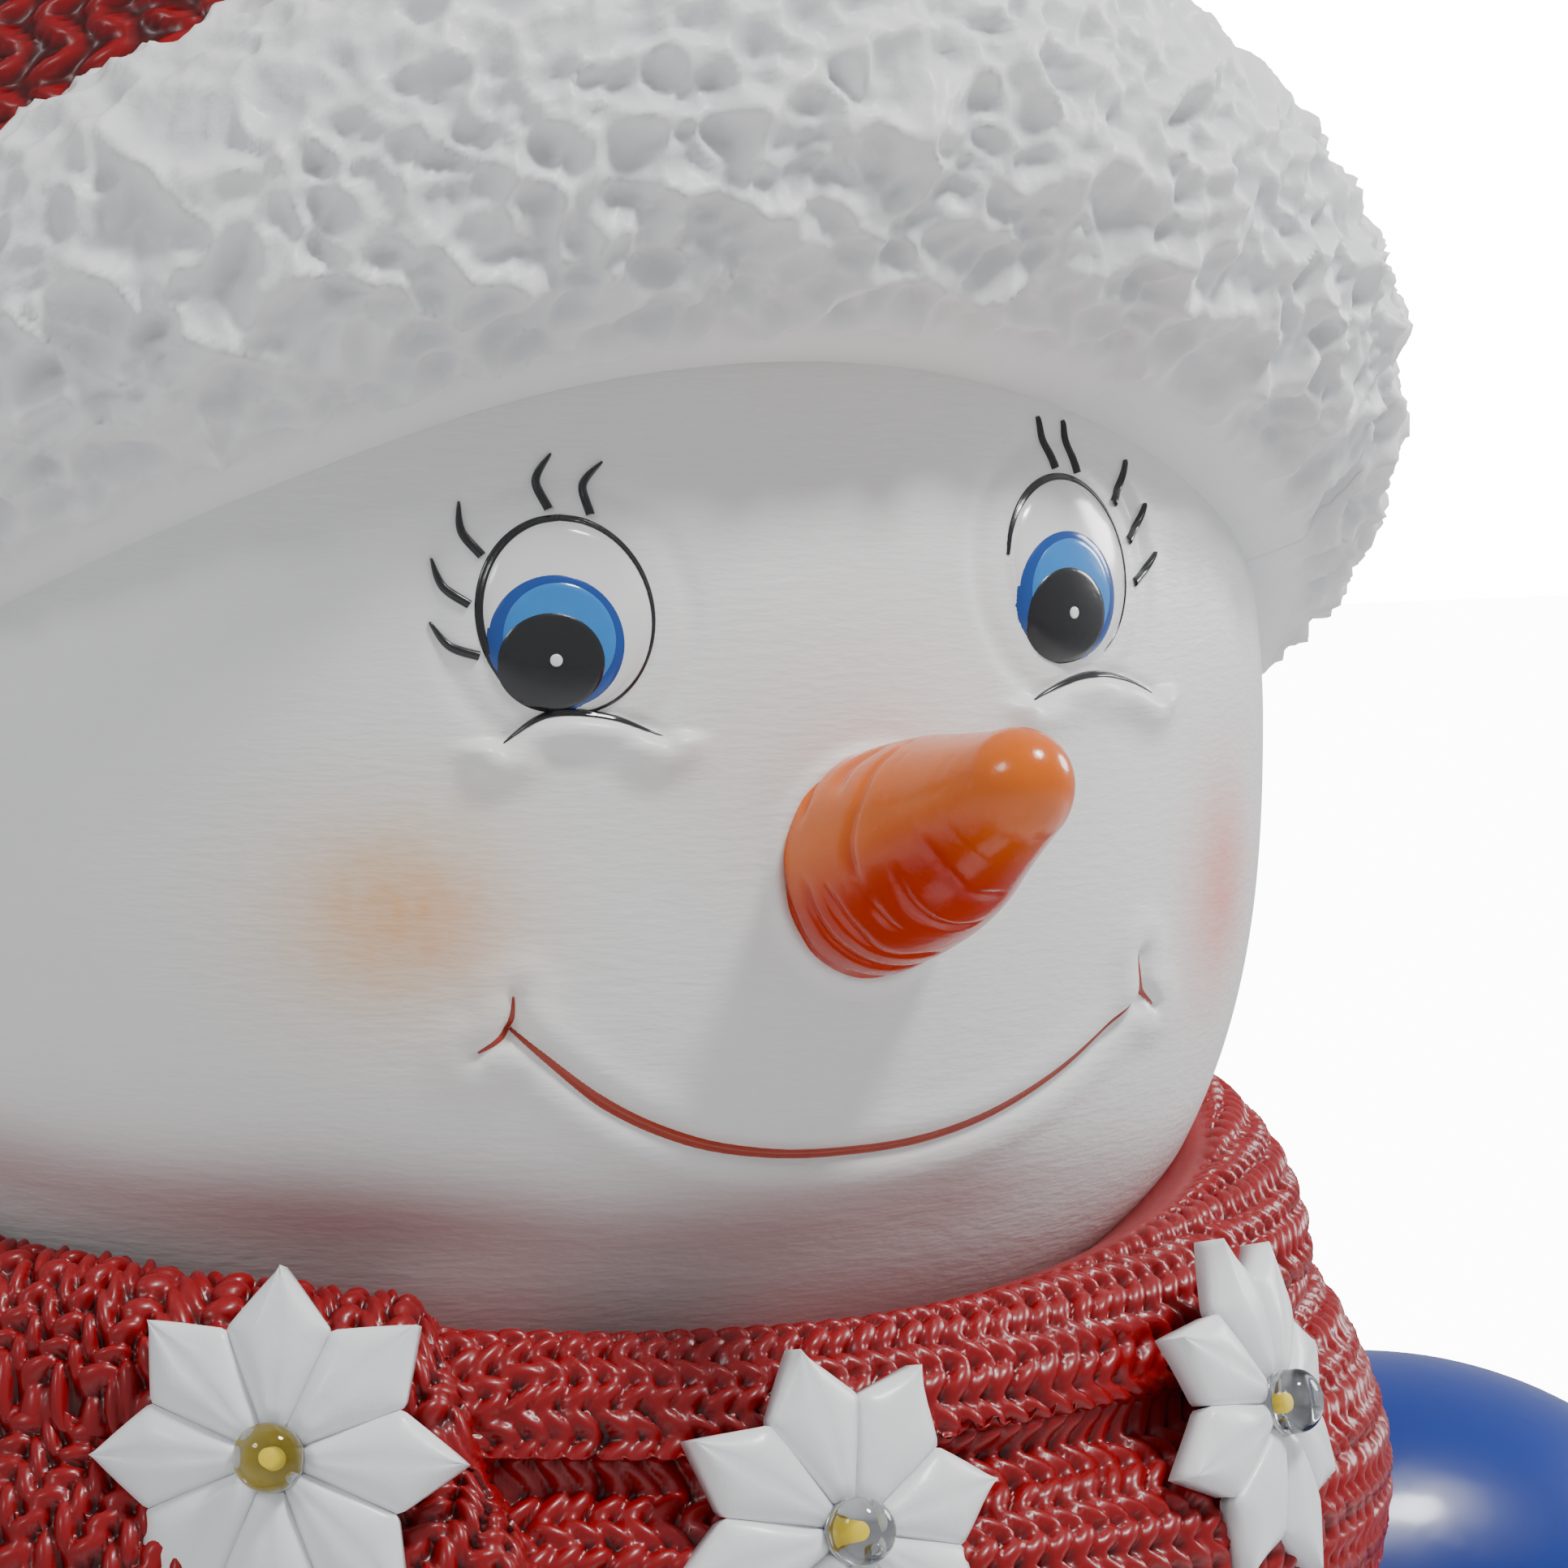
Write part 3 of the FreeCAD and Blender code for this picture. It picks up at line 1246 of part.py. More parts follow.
def door_body():
    """Door over the well, hung from its top edge, with a finger ridge along the bottom."""
    door = body("door")
    plate = sketch(door, "XY_Plane", "door_plate", "dims.door_clear")
    width = f"({WELL_LENGTH} + 2 * dims.door_margin)"
    tall = f"({WELL_TALL} + 2 * dims.door_margin)"
    rectangle(plate, WELL_MID, "0", width, tall)
    pad(door, plate, "dims.door_thick", "plate")
    half = "(dims.knuckle_spread - dims.knuckle_length / 2 - dims.knuckle_gap)"
    web = sketch(door, "XY_Plane", "door_web", "dims.door_clear")
    rectangle(web, WELL_MID, f"({HINGE_UP} + {tall} / 2 - 1) / 2", f"2 * {half}", f"{HINGE_UP} - {tall} / 2 + 1")
    pad(door, web, "dims.door_thick", "web")
    knuckle(door, "door_knuckle", f"{WELL_MID} - {half}", f"2 * {half}")
    ridge = sketch(door, "XY_Plane", "door_ridge", "dims.door_clear + dims.door_thick")
    rectangle(ridge, WELL_MID, f"-{tall} / 2 + 4", "18", "2.4")
    pad(door, ridge, "1.6", "ridge")
    pin_bore(door, "door_pin_bore", "dims.hinge_play")
    door.Placement = case_frame()
    finished(door, "battery_door")

    pin = body("hinge_rod")
    section = sketch(
        pin, "YZ_Plane", "hinge_section", f"{WELL_MID} - dims.knuckle_spread - dims.knuckle_length / 2"
    )
    circle(section, HINGE_UP, HINGE_OUT, "dims.hinge_pin_radius")
    pad(pin, section, "2 * dims.knuckle_spread + dims.knuckle_length")
    pin.Placement = case_frame()
    finished(pin, "hinge_pin")


def switch_and_board():
    """Three-place slide switch on the timer board, with the lead's socket behind the board."""
    under = "(dims.panel_thick + dims.slider_gap + dims.slider_base_thick)"
    slider = body("slider")
    base = sketch(slider, "XY_Plane", "slider_base", f"-{under}")
    base_width = "dims.slider_width + 2 * dims.slider_travel + 2"
    rectangle(base, BAY_MID, "dims.slider_up", base_width, "dims.slider_tall + 3")
    pad(slider, base, "dims.slider_base_thick", "base")
    knob = sketch(slider, "XY_Plane", "slider_knob", f"-{under}")
    rectangle(knob, BAY_MID, "dims.slider_up", "dims.slider_width", "dims.slider_tall")
    pad(slider, knob, f"{under} + dims.slider_rise", "knob")
    slider.Placement = case_frame()
    finished(slider, "switch_slider")

    switch = body("switch")
    block = sketch(switch, "XY_Plane", "switch_block", "-dims.board_drop")
    rectangle(block, BAY_MID, "dims.slider_up", "dims.board_width - 4", "dims.slider_tall + 5")
    pad(switch, block, f"dims.board_drop - {under} - dims.slider_gap", "block")
    switch.Placement = case_frame()
    finished(switch, "switch_body")

    board = body("board")
    card = sketch(board, "XY_Plane", "board_card", "-dims.board_drop - dims.board_thick")
    rectangle(card, BAY_MID, "0", "dims.board_width", "dims.board_tall")
    pad(board, card, "dims.board_thick", "card")
    chip = sketch(board, "XY_Plane", "board_chip", "-dims.board_drop")
    rectangle(chip, f"{BAY_MID} - 3", "-6", "6", "8")
    pad(board, chip, "1.8", "chip")
    can = sketch(board, "XY_Plane", "board_can", "-dims.board_drop")
    circle(can, f"{BAY_MID} + 5", "-14", "2.6")
    pad(board, can, "6.5", "can")
    socket = sketch(board, "XY_Plane", "board_socket", "-dims.board_drop - dims.board_thick - dims.socket_height")
    rectangle(socket, BAY_MID, "-10", "9", "8")
    pad(board, socket, "dims.socket_height", "socket")
    board.Placement = case_frame()
    finished(board, "timer_board")
    return case_frame(BAY_MID, "-10", "-dims.board_drop - dims.board_thick - dims.socket_height").Base


def cells_and_contacts():
    """Three AA cells laid head to tail, each between a spring and a plate."""
    cell = turned(
        "cell",
        [
            ("0", "0"),
            ("dims.cell_radius - 0.4", "0"),
            ("dims.cell_radius", "0.4"),
            ("dims.cell_radius", "dims.cell_length - 0.6"),
            ("dims.cell_radius - 0.6", "dims.cell_length"),
            ("dims.cell_button_radius", "dims.cell_length"),
            ("dims.cell_button_radius", "dims.cell_length + dims.cell_button_length"),
            ("0", "dims.cell_length + dims.cell_button_length"),
        ],
    )
    depth = "-dims.well_depth + dims.cell_radius + 0.1"
    places, springs, plates = [], [], []
    wire = 0.45
    coil = Part.makeHelix(value("dims.spring_room - 0.9") / 3, value("dims.spring_room - 0.9"), 3.0)
    ring = Part.Wire(Part.makeCircle(wire, Vector(3, 0, 0), Vector(0, 1, 0)))
    spring = Part.Wire(coil.Edges).makePipeShell([ring], True, True)
    for i in range(3):
        side = 1 if i % 2 == 0 else -1
        up = f"{i - 1} * dims.cell_pitch"
        end = case_frame(f"{WELL_MID} - {side} * {WELL_LENGTH} / 2", up, depth)
        along = Placement(Vector(), Rotation(Vector(0, 1, 0), 90 * side))
        start = end.multiply(along)
        plate_thick = value("dims.contact_thick")
        rest = plate_thick + value("dims.spring_room")
        places.append(start.multiply(Placement(Vector(0, 0, rest), Rotation())))
        shape = spring.copy()
        shape.Placement = start.multiply(Placement(Vector(0, 0, plate_thick + wire), Rotation()))
        springs.append(shape)
        for reach in (0, value(WELL_LENGTH) - plate_thick):
            plate = Part.makeBox(12, 12, plate_thick, Vector(-6, -6, reach))
            plate.Placement = start
            plates.append(plate)
    finished(copies("cell_set", cell, places), "battery_cells")
    finished(feature("spring_set", Part.Compound(springs)), "contact_springs")
    finished(feature("plate_set", Part.Compound(plates)), "contact_plates")


# ---------------------------------------------------------------- assembly
base_parts()
lower_outer = lower_snowball()
coat_outer = coat_outline("coat_outer")
coat_blank = coat_with_neck(coat_outer)
head_outer = head_outline("head_outer")
scarf_outer = scarf_outline()
wound, overlap, tail = scarf_blanks(scarf_outer, coat_outer, head_outer)
doc.recompute()

seats = station_places({"wrap": wound, "overlap": overlap, "tail": tail})
flake_tools = station_tools(seats)
wire_starts = lamps_and_flakes(seats)
routes = wire_routes(wire_starts)
wire_holes = []
for number, (begin, inner_end, _, _) in enumerate(routes):
    wire_holes.append(
        rod(f"wire_hole{number}", "dims.wire_hole_radius", (inner_end - begin).Length, facing(begin, inner_end - begin))
    )
    wire_holes[-1].Placement = facing(begin - (inner_end - begin) * 0.2, inner_end - begin)
wiring(routes)

wrap_tools = [tool for pair in flake_tools[:3] for tool in pair]
tail_tools = [tool for pair in flake_tools[3:] for tool in pair]
finished(cut("scarf_drilled", wound, *wrap_tools), "scarf_wrap")
finished(cut("overlap_drilled", overlap, *flake_tools[0]), "scarf_overlap")
finished(cut("tail_drilled", tail, *tail_tools), "scarf_tail")
fringe(coat_outer)

coat_tools = buttons(coat_outer) + case_openings() + wire_holes
finished(cut("coat_finished", coat_blank, *coat_tools), "coat_casting")
hem_trim(coat_outer, lower_outer)
arm_parts(coat_outer, scarf_outer)
head_and_nose(head_outer)
hat_parts(head_outer)

case_body()
door_body()
mouth = switch_and_board()
cells_and_contacts()
case_screw = turned_screw("case_screw", "dims.case_screw_length")
finished(copies("case_screw_set", case_screw, case_screw_places()), "case_screws")
main_lead(mouth)
doc.recompute()

# ---------------------------------------------------------------- checks and export
for obj in doc.Objects:
    if {"Invalid", "Error"} & set(obj.State):
        raise RuntimeError(f"{obj.Name} did not build: {obj.State}")
os.makedirs("parts", exist_ok=True)
for part in PARTS:
    shape = part.Shape
    if shape.isNull() or not shape.isValid() or shape.Volume < 0.01:
        raise RuntimeError(f"{part.Label} is not a sound solid")
    shape.exportStep(f"parts/{part.Label}.step")
    print(f"{part.Label:26s} solids {len(shape.Solids):2d}  volume {shape.Volume:12.1f}")
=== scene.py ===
import math

import bmesh
import bpy
import numpy as np
from mathutils import Matrix, Vector


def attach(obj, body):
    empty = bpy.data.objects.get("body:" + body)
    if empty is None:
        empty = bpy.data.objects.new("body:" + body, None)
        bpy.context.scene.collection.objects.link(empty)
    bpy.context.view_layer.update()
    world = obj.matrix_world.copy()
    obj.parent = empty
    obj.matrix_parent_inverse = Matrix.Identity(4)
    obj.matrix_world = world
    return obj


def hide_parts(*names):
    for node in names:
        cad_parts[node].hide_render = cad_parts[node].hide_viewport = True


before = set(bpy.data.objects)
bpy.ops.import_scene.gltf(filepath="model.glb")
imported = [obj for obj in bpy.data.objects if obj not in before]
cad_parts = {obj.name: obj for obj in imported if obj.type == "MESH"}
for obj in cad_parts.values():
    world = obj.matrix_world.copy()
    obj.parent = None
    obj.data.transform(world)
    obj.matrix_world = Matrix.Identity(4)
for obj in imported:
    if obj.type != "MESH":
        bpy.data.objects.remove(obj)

bl_info = {
    "name": "Yard snowman",
    "version": (1, 0, 0),
    "blender": (4, 5, 0),
    "location": "View3D > Sidebar > Snowman",
    "description": "Builds the looks of a painted snowman figure round its packed frame",
    "category": "Object",
}

MM = 0.001
FIGURE = "figure"
HEAD_Z = 455.0  # height of the head's middle; every length here is in mm
HEAD_RX, HEAD_RY, HEAD_RZ = 103.0, 84.0, 103.0
SQUASH = 0.86  # front-to-back size of the body over its width


# ---------------------------------------------------------------- numbers on grids
def smooth(low, high, x):
    t = np.clip((x - low) / (high - low), 0.0, 1.0)
    return t * t * (3 - 2 * t)


def hashed(ix, iy, iz, seed):
    """A repeatable number from 0 to 1 for each lattice cell."""
    n = (
        ix.astype(np.int64) * 374761393
        + iy.astype(np.int64) * 668265263
        + iz.astype(np.int64) * 1274126177
        + seed * 974711
    ) & 0xFFFFFFFF
    n = ((n ^ (n >> 13)) * 1103515245) & 0xFFFFFFFF
    n = ((n ^ (n >> 16)) * 2246822519) & 0xFFFFFFFF
    return ((n ^ (n >> 15)) & 0xFFFFFF) / float(0xFFFFFF)


def noise(points, cell, seed=1):
    """Smooth value noise from 0 to 1 with features about cell mm across."""
    q = points / cell
    base = np.floor(q)
    f = q - base
    f = f * f * (3 - 2 * f)
    total = 0.0
    for dx in (0, 1):
        for dy in (0, 1):
            for dz in (0, 1):
                weight = (
                    (f[..., 0] if dx else 1 - f[..., 0])
                    * (f[..., 1] if dy else 1 - f[..., 1])
                    * (f[..., 2] if dz else 1 - f[..., 2])
                )
                total = total + weight * hashed(base[..., 0] + dx, base[..., 1] + dy, base[..., 2] + dz, seed)
    return total


def dabs(points, cell, seed=1, spread=0.3):
    """Concave scoops with sharp ridges between them: 0 in the middle of a scoop, about 0.7 on a ridge."""
    q = points / cell
    base = np.floor(q)
    best = np.full(points.shape[:-1], 9.0)
    for dx in (-1, 0, 1):
        for dy in (-1, 0, 1):
            for dz in (-1, 0, 1):
                cx, cy, cz = base[..., 0] + dx, base[..., 1] + dy, base[..., 2] + dz
                d2 = (
                    (cx + hashed(cx, cy, cz, seed) - q[..., 0]) ** 2
                    + (cy + hashed(cx, cy, cz, seed + 1) - q[..., 1]) ** 2
                    + (cz + hashed(cx, cy, cz, seed + 2) - q[..., 2]) ** 2
                )
                best = np.minimum(best, d2 + spread * hashed(cx, cy, cz, seed + 3))
    return best


def normals(grid, wrap):
    """Unit normals of a grid of points, rows first; wrap joins the last column to the first."""
    if wrap:
        du = np.roll(grid, -1, 1) - np.roll(grid, 1, 1)
    else:
        du = np.gradient(grid, axis=1)
    dv = np.gradient(grid, axis=0)
    n = np.cross(du, dv)
    return n / np.maximum(np.linalg.norm(n, axis=-1, keepdims=True), 1e-9)


def curve(knots, at):
    """Smooth curve through evenly numbered knots, read at positions from 0 to len(knots) - 1."""
    knots = np.asarray(knots, float)
    last = len(knots) - 1
    at = np.clip(np.asarray(at, float), 0, last)
    i = np.minimum(np.floor(at).astype(int), last - 1)
    t = (at - i)[..., None] if knots.ndim > 1 else at - i
    p0, p1 = knots[np.maximum(i - 1, 0)], knots[i]
    p2, p3 = knots[i + 1], knots[np.minimum(i + 2, last)]
    return 0.5 * (
        2 * p1 + (p2 - p0) * t + (2 * p0 - 5 * p1 + 4 * p2 - p3) * t**2 + (3 * p1 - p0 - 3 * p2 + p3) * t**3
    )


def uneven(count, centre, span, share, full=2 * math.pi):
    """count bearings round a full turn, with that share of them within span of centre."""
    dense = int(count * share)
    near = centre - span / 2 + span * np.arange(dense) / dense
    far = centre + span / 2 + (full - span) * np.arange(count - dense) / (count - dense)
    return np.concatenate([near, far])


def bearing(angle):
    """Unit level vector at a bearing in radians: 0 ahead of the figure, positive to its left."""
    angle = np.asarray(angle)
    return np.stack([np.sin(angle), -np.cos(angle), np.zeros_like(angle)], -1)


# ---------------------------------------------------------------- meshes
def add_object(name, mesh, material, replaces=(), body=FIGURE):
    obj = bpy.data.objects.new(name, mesh)
    bpy.context.scene.collection.objects.link(obj)
    if not mesh.materials:
        mesh.materials.append(material)
    if body:
        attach(obj, body)
    if replaces:
        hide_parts(*replaces)
    return obj


def grid_faces(rows, columns, wrap):
    r = np.arange(rows - 1)[:, None]
    c = np.arange(columns if wrap else columns - 1)[None, :]
    a = r * columns + c
    b = r * columns + (c + 1) % columns
    return np.stack([a, b, b + columns, a + columns], -1).reshape(-1, 4).tolist()


def grid_mesh(name, grid, wrap=True, low_cap=False, high_cap=False, colours=None):
    """A smooth mesh over a grid of points in mm; a cap closes the first or the last row with a fan."""
    rows, columns = grid.shape[:2]
    verts = grid.reshape(-1, 3)
    faces = grid_faces(rows, columns, wrap)
    extra = []
    tints = None if colours is None else colours.reshape(-1, colours.shape[-1])
    for wanted, row, turn in ((low_cap, 0, True), (high_cap, rows - 1, False)):
        if wanted:
            centre = len(verts) + len(extra)
            extra.append(grid[row].mean(0))
            ring = row * columns + np.arange(columns)
            if tints is not None:
                tints = np.vstack([tints, colours[row].mean(0)])
            for i in range(columns):
                a, b = int(ring[i]), int(ring[(i + 1) % columns])
                faces.append([b, a, centre] if turn else [a, b, centre])
    if extra:
        verts = np.vstack([verts, np.array(extra)])
    return make_mesh(name, verts, faces, tints)


def closed_part(grid):
    """(verts, faces) of a tube of points in rows, with both ends closed."""
    rows, columns = grid.shape[:2]
    verts = np.vstack([grid.reshape(-1, 3), grid[0].mean(0), grid[-1].mean(0)])
    faces = grid_faces(rows, columns, True)
    last = (rows - 1) * columns
    for i in range(columns):
        j = (i + 1) % columns
        faces.append([j, i, rows * columns])
        faces.append([last + i, last + j, rows * columns + 1])
    return verts, faces


def make_mesh(name, verts, faces, tints=None):
    mesh = bpy.data.meshes.new(name)
    mesh.from_pydata((np.asarray(verts) * MM).tolist(), [], faces)
    mesh.polygons.foreach_set("use_smooth", [True] * len(mesh.polygons))
    if tints is not None:
        attribute = mesh.attributes.new("tint", "FLOAT_COLOR", "POINT")
        rgba = np.ones((len(verts), 4))
        rgba[:, : tints.shape[-1]] = tints
        attribute.data.foreach_set("color", rgba.reshape(-1))
    mesh.update()
    return mesh


def joined(name, parts):
    """One untinted mesh from several (verts, faces)."""
    faces, count = [], 0
    for v, f in parts:
        faces.extend([[i + count for i in face] for face in f])
        count += len(v)
    return make_mesh(name, np.vstack([v for v, _ in parts]), faces, np.ones((count, 3)))


def lathe_grid(outline, columns=48):
    """Rows of points of an outline of (radius, height) pairs turned about Z, lowest first."""
    outline = np.asarray(outline, float)
    turn = np.linspace(0, 2 * math.pi, columns, endpoint=False)
    ring = np.stack([np.cos(turn), np.sin(turn), 0 * turn], -1)
    return outline[:, 0, None, None] * ring + outline[:, 1, None, None] * np.array([0, 0, 1.0])


def placed(verts, origin, outward, upward=(0, 0, 1)):
    """verts moved so that their +Z points outward and their +Y leans upward."""
    z = np.asarray(outward, float) / np.linalg.norm(outward)
    x = np.cross(upward, z)
    x = x / np.linalg.norm(x)
    y = np.cross(z, x)
    return np.asarray(origin) + verts @ np.stack([x, y, z])


# ---------------------------------------------------------------- shaders
class Socket:
    """A shader socket that takes part in arithmetic."""

    def __init__(self, nodes, output):
        self.nodes, self.output = nodes, output

    def _math(self, operation, *others):
        node = self.nodes.new("ShaderNodeMath")
        node.operation = operation
        for slot, item in zip(node.inputs, (self, *others)):
            self.nodes.connect(item, slot)
        return Socket(self.nodes, node.outputs[0])

    def __add__(self, other):
        return self._math("ADD", other)

    def __sub__(self, other):
        return self._math("SUBTRACT", other)

    def __mul__(self, other):
        return self._math("MULTIPLY", other)

    def __truediv__(self, other):
        return self._math("DIVIDE", other)

    def __rsub__(self, other):
        return (self * -1.0) + other

    __radd__ = __add__
    __rmul__ = __mul__

    def clamp(self):
        return self._math("MAXIMUM", 0.0)._math("MINIMUM", 1.0)


class Shader:
    """One material's node tree."""

    def __init__(self, name):
        self.material = bpy.data.materials.new(name)
        self.material.use_nodes = True
        self.tree = self.material.node_tree
        self.principled = self.tree.nodes["Principled BSDF"]
        self.where = self.node("ShaderNodeTexCoord").outputs["Object"]

    def new(self, kind):
        return self.tree.nodes.new(kind)

    def connect(self, item, target):
        if isinstance(item, Socket):
            self.tree.links.new(item.output, target)
        elif isinstance(item, bpy.types.NodeSocket):
            self.tree.links.new(item, target)
        else:
            target.default_value = item

    def node(self, kind, inputs=(), **settings):
        made = self.new(kind)
        for key, setting in settings.items():
            setattr(made, key, setting)
        for key, item in dict(inputs).items():
            self.connect(item, made.inputs[key])
        return made

    def noise(self, scale, detail=3.0, rough=0.55, stretch=(1, 1, 1)):
        moved = self.node("ShaderNodeMapping", {"Vector": self.where, "Scale": stretch})
        made = self.node(
            "ShaderNodeTexNoise",
            {"Vector": moved.outputs[0], "Scale": scale, "Detail": detail, "Roughness": rough},
        )
        return Socket(self, made.outputs[0])

    def attribute(self, name, output="Color"):
        return self.node("ShaderNodeAttribute", attribute_name=name).outputs[output]

    def mix(self, factor, a, b, blend="MIX"):
        made = self.new("ShaderNodeMix")
        made.data_type = "RGBA"
        made.blend_type = blend
        self.connect(factor, made.inputs[0])
        self.connect(a, made.inputs[6])
        self.connect(b, made.inputs[7])
        return made.outputs[2]

    def set(self, **values):
        for key, item in values.items():
            self.connect(item, self.principled.inputs[key.replace("_", " ")])

    def bump(self, height, strength, distance):
        made = self.node(
            "ShaderNodeBump",
            {"Height": height, "Strength": strength, "Distance": distance},
        )
        self.connect(made.outputs[0], self.principled.inputs["Normal"])


def rgba(colour):
    return (*colour, 1.0)


def finish_paint(
    name, colour, other, rough, coat=0.0, metallic=0.0, scale=60.0, bump=0.15, grain=900.0, tinted=False,
    stretch=(1, 1, 1), glow=0.0,
):
    """A painted or moulded surface: two close colours clouded together, uneven gloss and a fine grain."""
    shader = Shader(name)
    cloud = shader.noise(scale, stretch=stretch)
    base = shader.mix(cloud, rgba(colour), rgba(other))
    if tinted:
        base = shader.mix(1.0, base, shader.attribute("tint"), "MULTIPLY")
    shader.set(Base_Color=base, Roughness=(cloud * 0.16 + (rough - 0.08)).clamp())
    shader.set(Metallic=metallic, Coat_Weight=coat)
    shader.set(Coat_Roughness=0.12, Specular_IOR_Level=0.4)
    shader.bump(shader.noise(grain, 2.0, stretch=stretch), bump, 0.0004)
    if glow:
        shader.set(Emission_Color=rgba(colour), Emission_Strength=glow)
    return shader.material


LOOKS = {
    # base colour, second colour, roughness, then what differs from a plain finish
    "head": ((0.83, 0.83, 0.815), (0.79, 0.79, 0.78), 0.44,
             dict(coat=0.12, scale=35, bump=0.35, grain=260.0, tinted=True, stretch=(1.0, 1.0, 4.5))),
    "eye_white": ((0.83, 0.83, 0.81), (0.79, 0.79, 0.78), 0.2, dict(coat=0.6, scale=90, bump=0.04)),
    "fur": ((0.84, 0.84, 0.835), (0.79, 0.795, 0.8), 0.5,
            dict(coat=0.05, scale=70, bump=0.3, grain=700.0, tinted=True)),
    "snow": ((0.84, 0.85, 0.86), (0.76, 0.79, 0.83), 0.5, dict(scale=25, bump=0.6, grain=160.0, tinted=True)),
    "knit": ((0.30, 0.001, 0.004), (0.20, 0.001, 0.003), 0.34,
             dict(coat=0.10, scale=80, bump=0.12, grain=500.0, tinted=True)),
    "mitten": ((0.42, 0.010, 0.012), (0.33, 0.006, 0.009), 0.24, dict(coat=0.4, scale=60, bump=0.1)),
    "coat": ((0.004, 0.032, 0.27), (0.003, 0.022, 0.20), 0.3,
             dict(coat=0.25, scale=30, bump=0.2, grain=70.0, tinted=True)),
    "carrot": ((0.72, 0.145, 0.002), (0.64, 0.11, 0.002), 0.25,
               dict(coat=0.3, scale=90, bump=0.15, tinted=True)),
    "black": ((0.010, 0.010, 0.012), (0.018, 0.018, 0.020), 0.22, dict(coat=0.4, scale=90, bump=0.1)),
    "mouth": ((0.40, 0.045, 0.02), (0.30, 0.03, 0.015), 0.35, dict(coat=0.2, scale=120, bump=0.2)),
    "iris_rim": ((0.012, 0.075, 0.33), (0.008, 0.05, 0.25), 0.18, dict(coat=0.5, scale=200, bump=0.05)),
    "iris": ((0.035, 0.24, 0.62), (0.02, 0.17, 0.52), 0.18, dict(coat=0.5, scale=200, bump=0.05)),
    "button": ((0.012, 0.012, 0.014), (0.02, 0.02, 0.022), 0.25, dict(coat=0.4, bump=0.08)),
    "flake": ((0.85, 0.86, 0.87), (0.80, 0.82, 0.83), 0.38,
              dict(coat=0.15, scale=90, bump=0.15, tinted=True)),
    "phosphor": ((0.90, 0.66, 0.03), (0.82, 0.58, 0.02), 0.5, dict(scale=900, bump=0.2, glow=0.3)),
    "lead_frame": ((0.55, 0.55, 0.57), (0.35, 0.35, 0.38), 0.18, dict(metallic=1.0, scale=500, bump=0.05)),
    "steel": ((0.60, 0.60, 0.61), (0.48, 0.48, 0.5), 0.28, dict(metallic=1.0, scale=300, bump=0.06)),
    "rubber": ((0.02, 0.02, 0.021), (0.032, 0.032, 0.033), 0.72, dict(scale=150, bump=0.3)),
    "plate": ((0.05, 0.05, 0.052), (0.07, 0.07, 0.072), 0.6, dict(scale=200, bump=0.4)),
    "case": ((0.008, 0.05, 0.30), (0.006, 0.04, 0.25), 0.42, dict(scale=120, bump=0.3)),
    "switch": ((0.015, 0.015, 0.016), (0.025, 0.025, 0.026), 0.45, dict(scale=200, bump=0.2)),
    "board": ((0.01, 0.17, 0.05), (0.008, 0.12, 0.035), 0.35, dict(scale=220, bump=0.15)),
    "cell": ((0.06, 0.06, 0.07), (0.10, 0.09, 0.05), 0.3, dict(metallic=0.4, scale=25, bump=0.05)),
    "wire": ((0.02, 0.02, 0.022), (0.035, 0.035, 0.037), 0.4, dict(scale=300, bump=0.1)),
}


def lamp_glass():
    shader = Shader("snowman_lamp")
    haze = shader.noise(300.0)
    shader.set(Base_Color=shader.mix(haze, (0.96, 0.98, 0.98, 1), (0.90, 0.93, 0.92, 1)), IOR=1.45,
               Roughness=haze * 0.05, Transmission_Weight=1.0)
    return shader.material


def material(key):
    """The material for one of the looks, made when first asked for."""
    name = "snowman_" + key
    if name not in bpy.data.materials:
        if key == "lamp":
            return lamp_glass()
        colour, other, rough, more = LOOKS[key]
        return finish_paint(name, colour, other, rough, **more)
    return bpy.data.materials[name]


# ---------------------------------------------------------------- head
EYE_HIGH = 11.2  # half height of each white
NOSE_ROOT = (6.5, -10.5)  # x and height of the carrot's root, from the head's middle
NOSE_RADIUS = 12.6
LASH_LENGTH = 6.4


def eye(middle, height, half):
    """Ovals of one eye that looks down and aside: middle x and height, half width and half height of each."""
    return {
        "white": (middle, height, half, EYE_HIGH),
        "iris": (middle - 1.6, height - 3.0, 0.82 * half, 0.73 * EYE_HIGH),
        "pupil": (middle - 2.4, height - 5.2, 0.64 * half, 0.53 * EYE_HIGH),
    }


def bow(middle, height, left, right, count):
    """Knots of a bow: each side has its reach, its end's rise over the middle, and the power it rises by."""
    knots = []
    for share in np.linspace(-1, 1, count):
        reach, rise, power = left if share < 0 else right
        knots.append((middle + share * reach, height + rise * abs(share) ** power))
    return knots


EYES = [eye(-31.0, 20.0, 10.0), eye(39.0, 23.0, 10.5)]
LIDS = [
    bow(-32.0, 9.0, (7.0, -3.5, 2.0), (11.5, -3.0, 2.0), 5),
    bow(42.0, 10.5, (10.5, -2.5, 2.0), (11.5, -3.0, 2.0), 5),
]
SMILE = bow(7.5, -45.0, (45.0, 17.0, 2.6), (45.0, 14.5, 2.3), 9)

LASH_FANS = [
    # eye and count; first root and step round the eye, first lean and step, in degrees outward from upright;
    # gap to the eye and bend outward, in mm
    (0, 2, -20, 25, -20, 10, 1.0, 1.5),
    (0, 3, 55, 28, 16, 18, 1.0, 1.0),
    (1, 2, 0, 20, -15, 6, 1.0, 0.0),
    (1, 3, 55, 22, 38, 10, 2.0, 0.5),
]


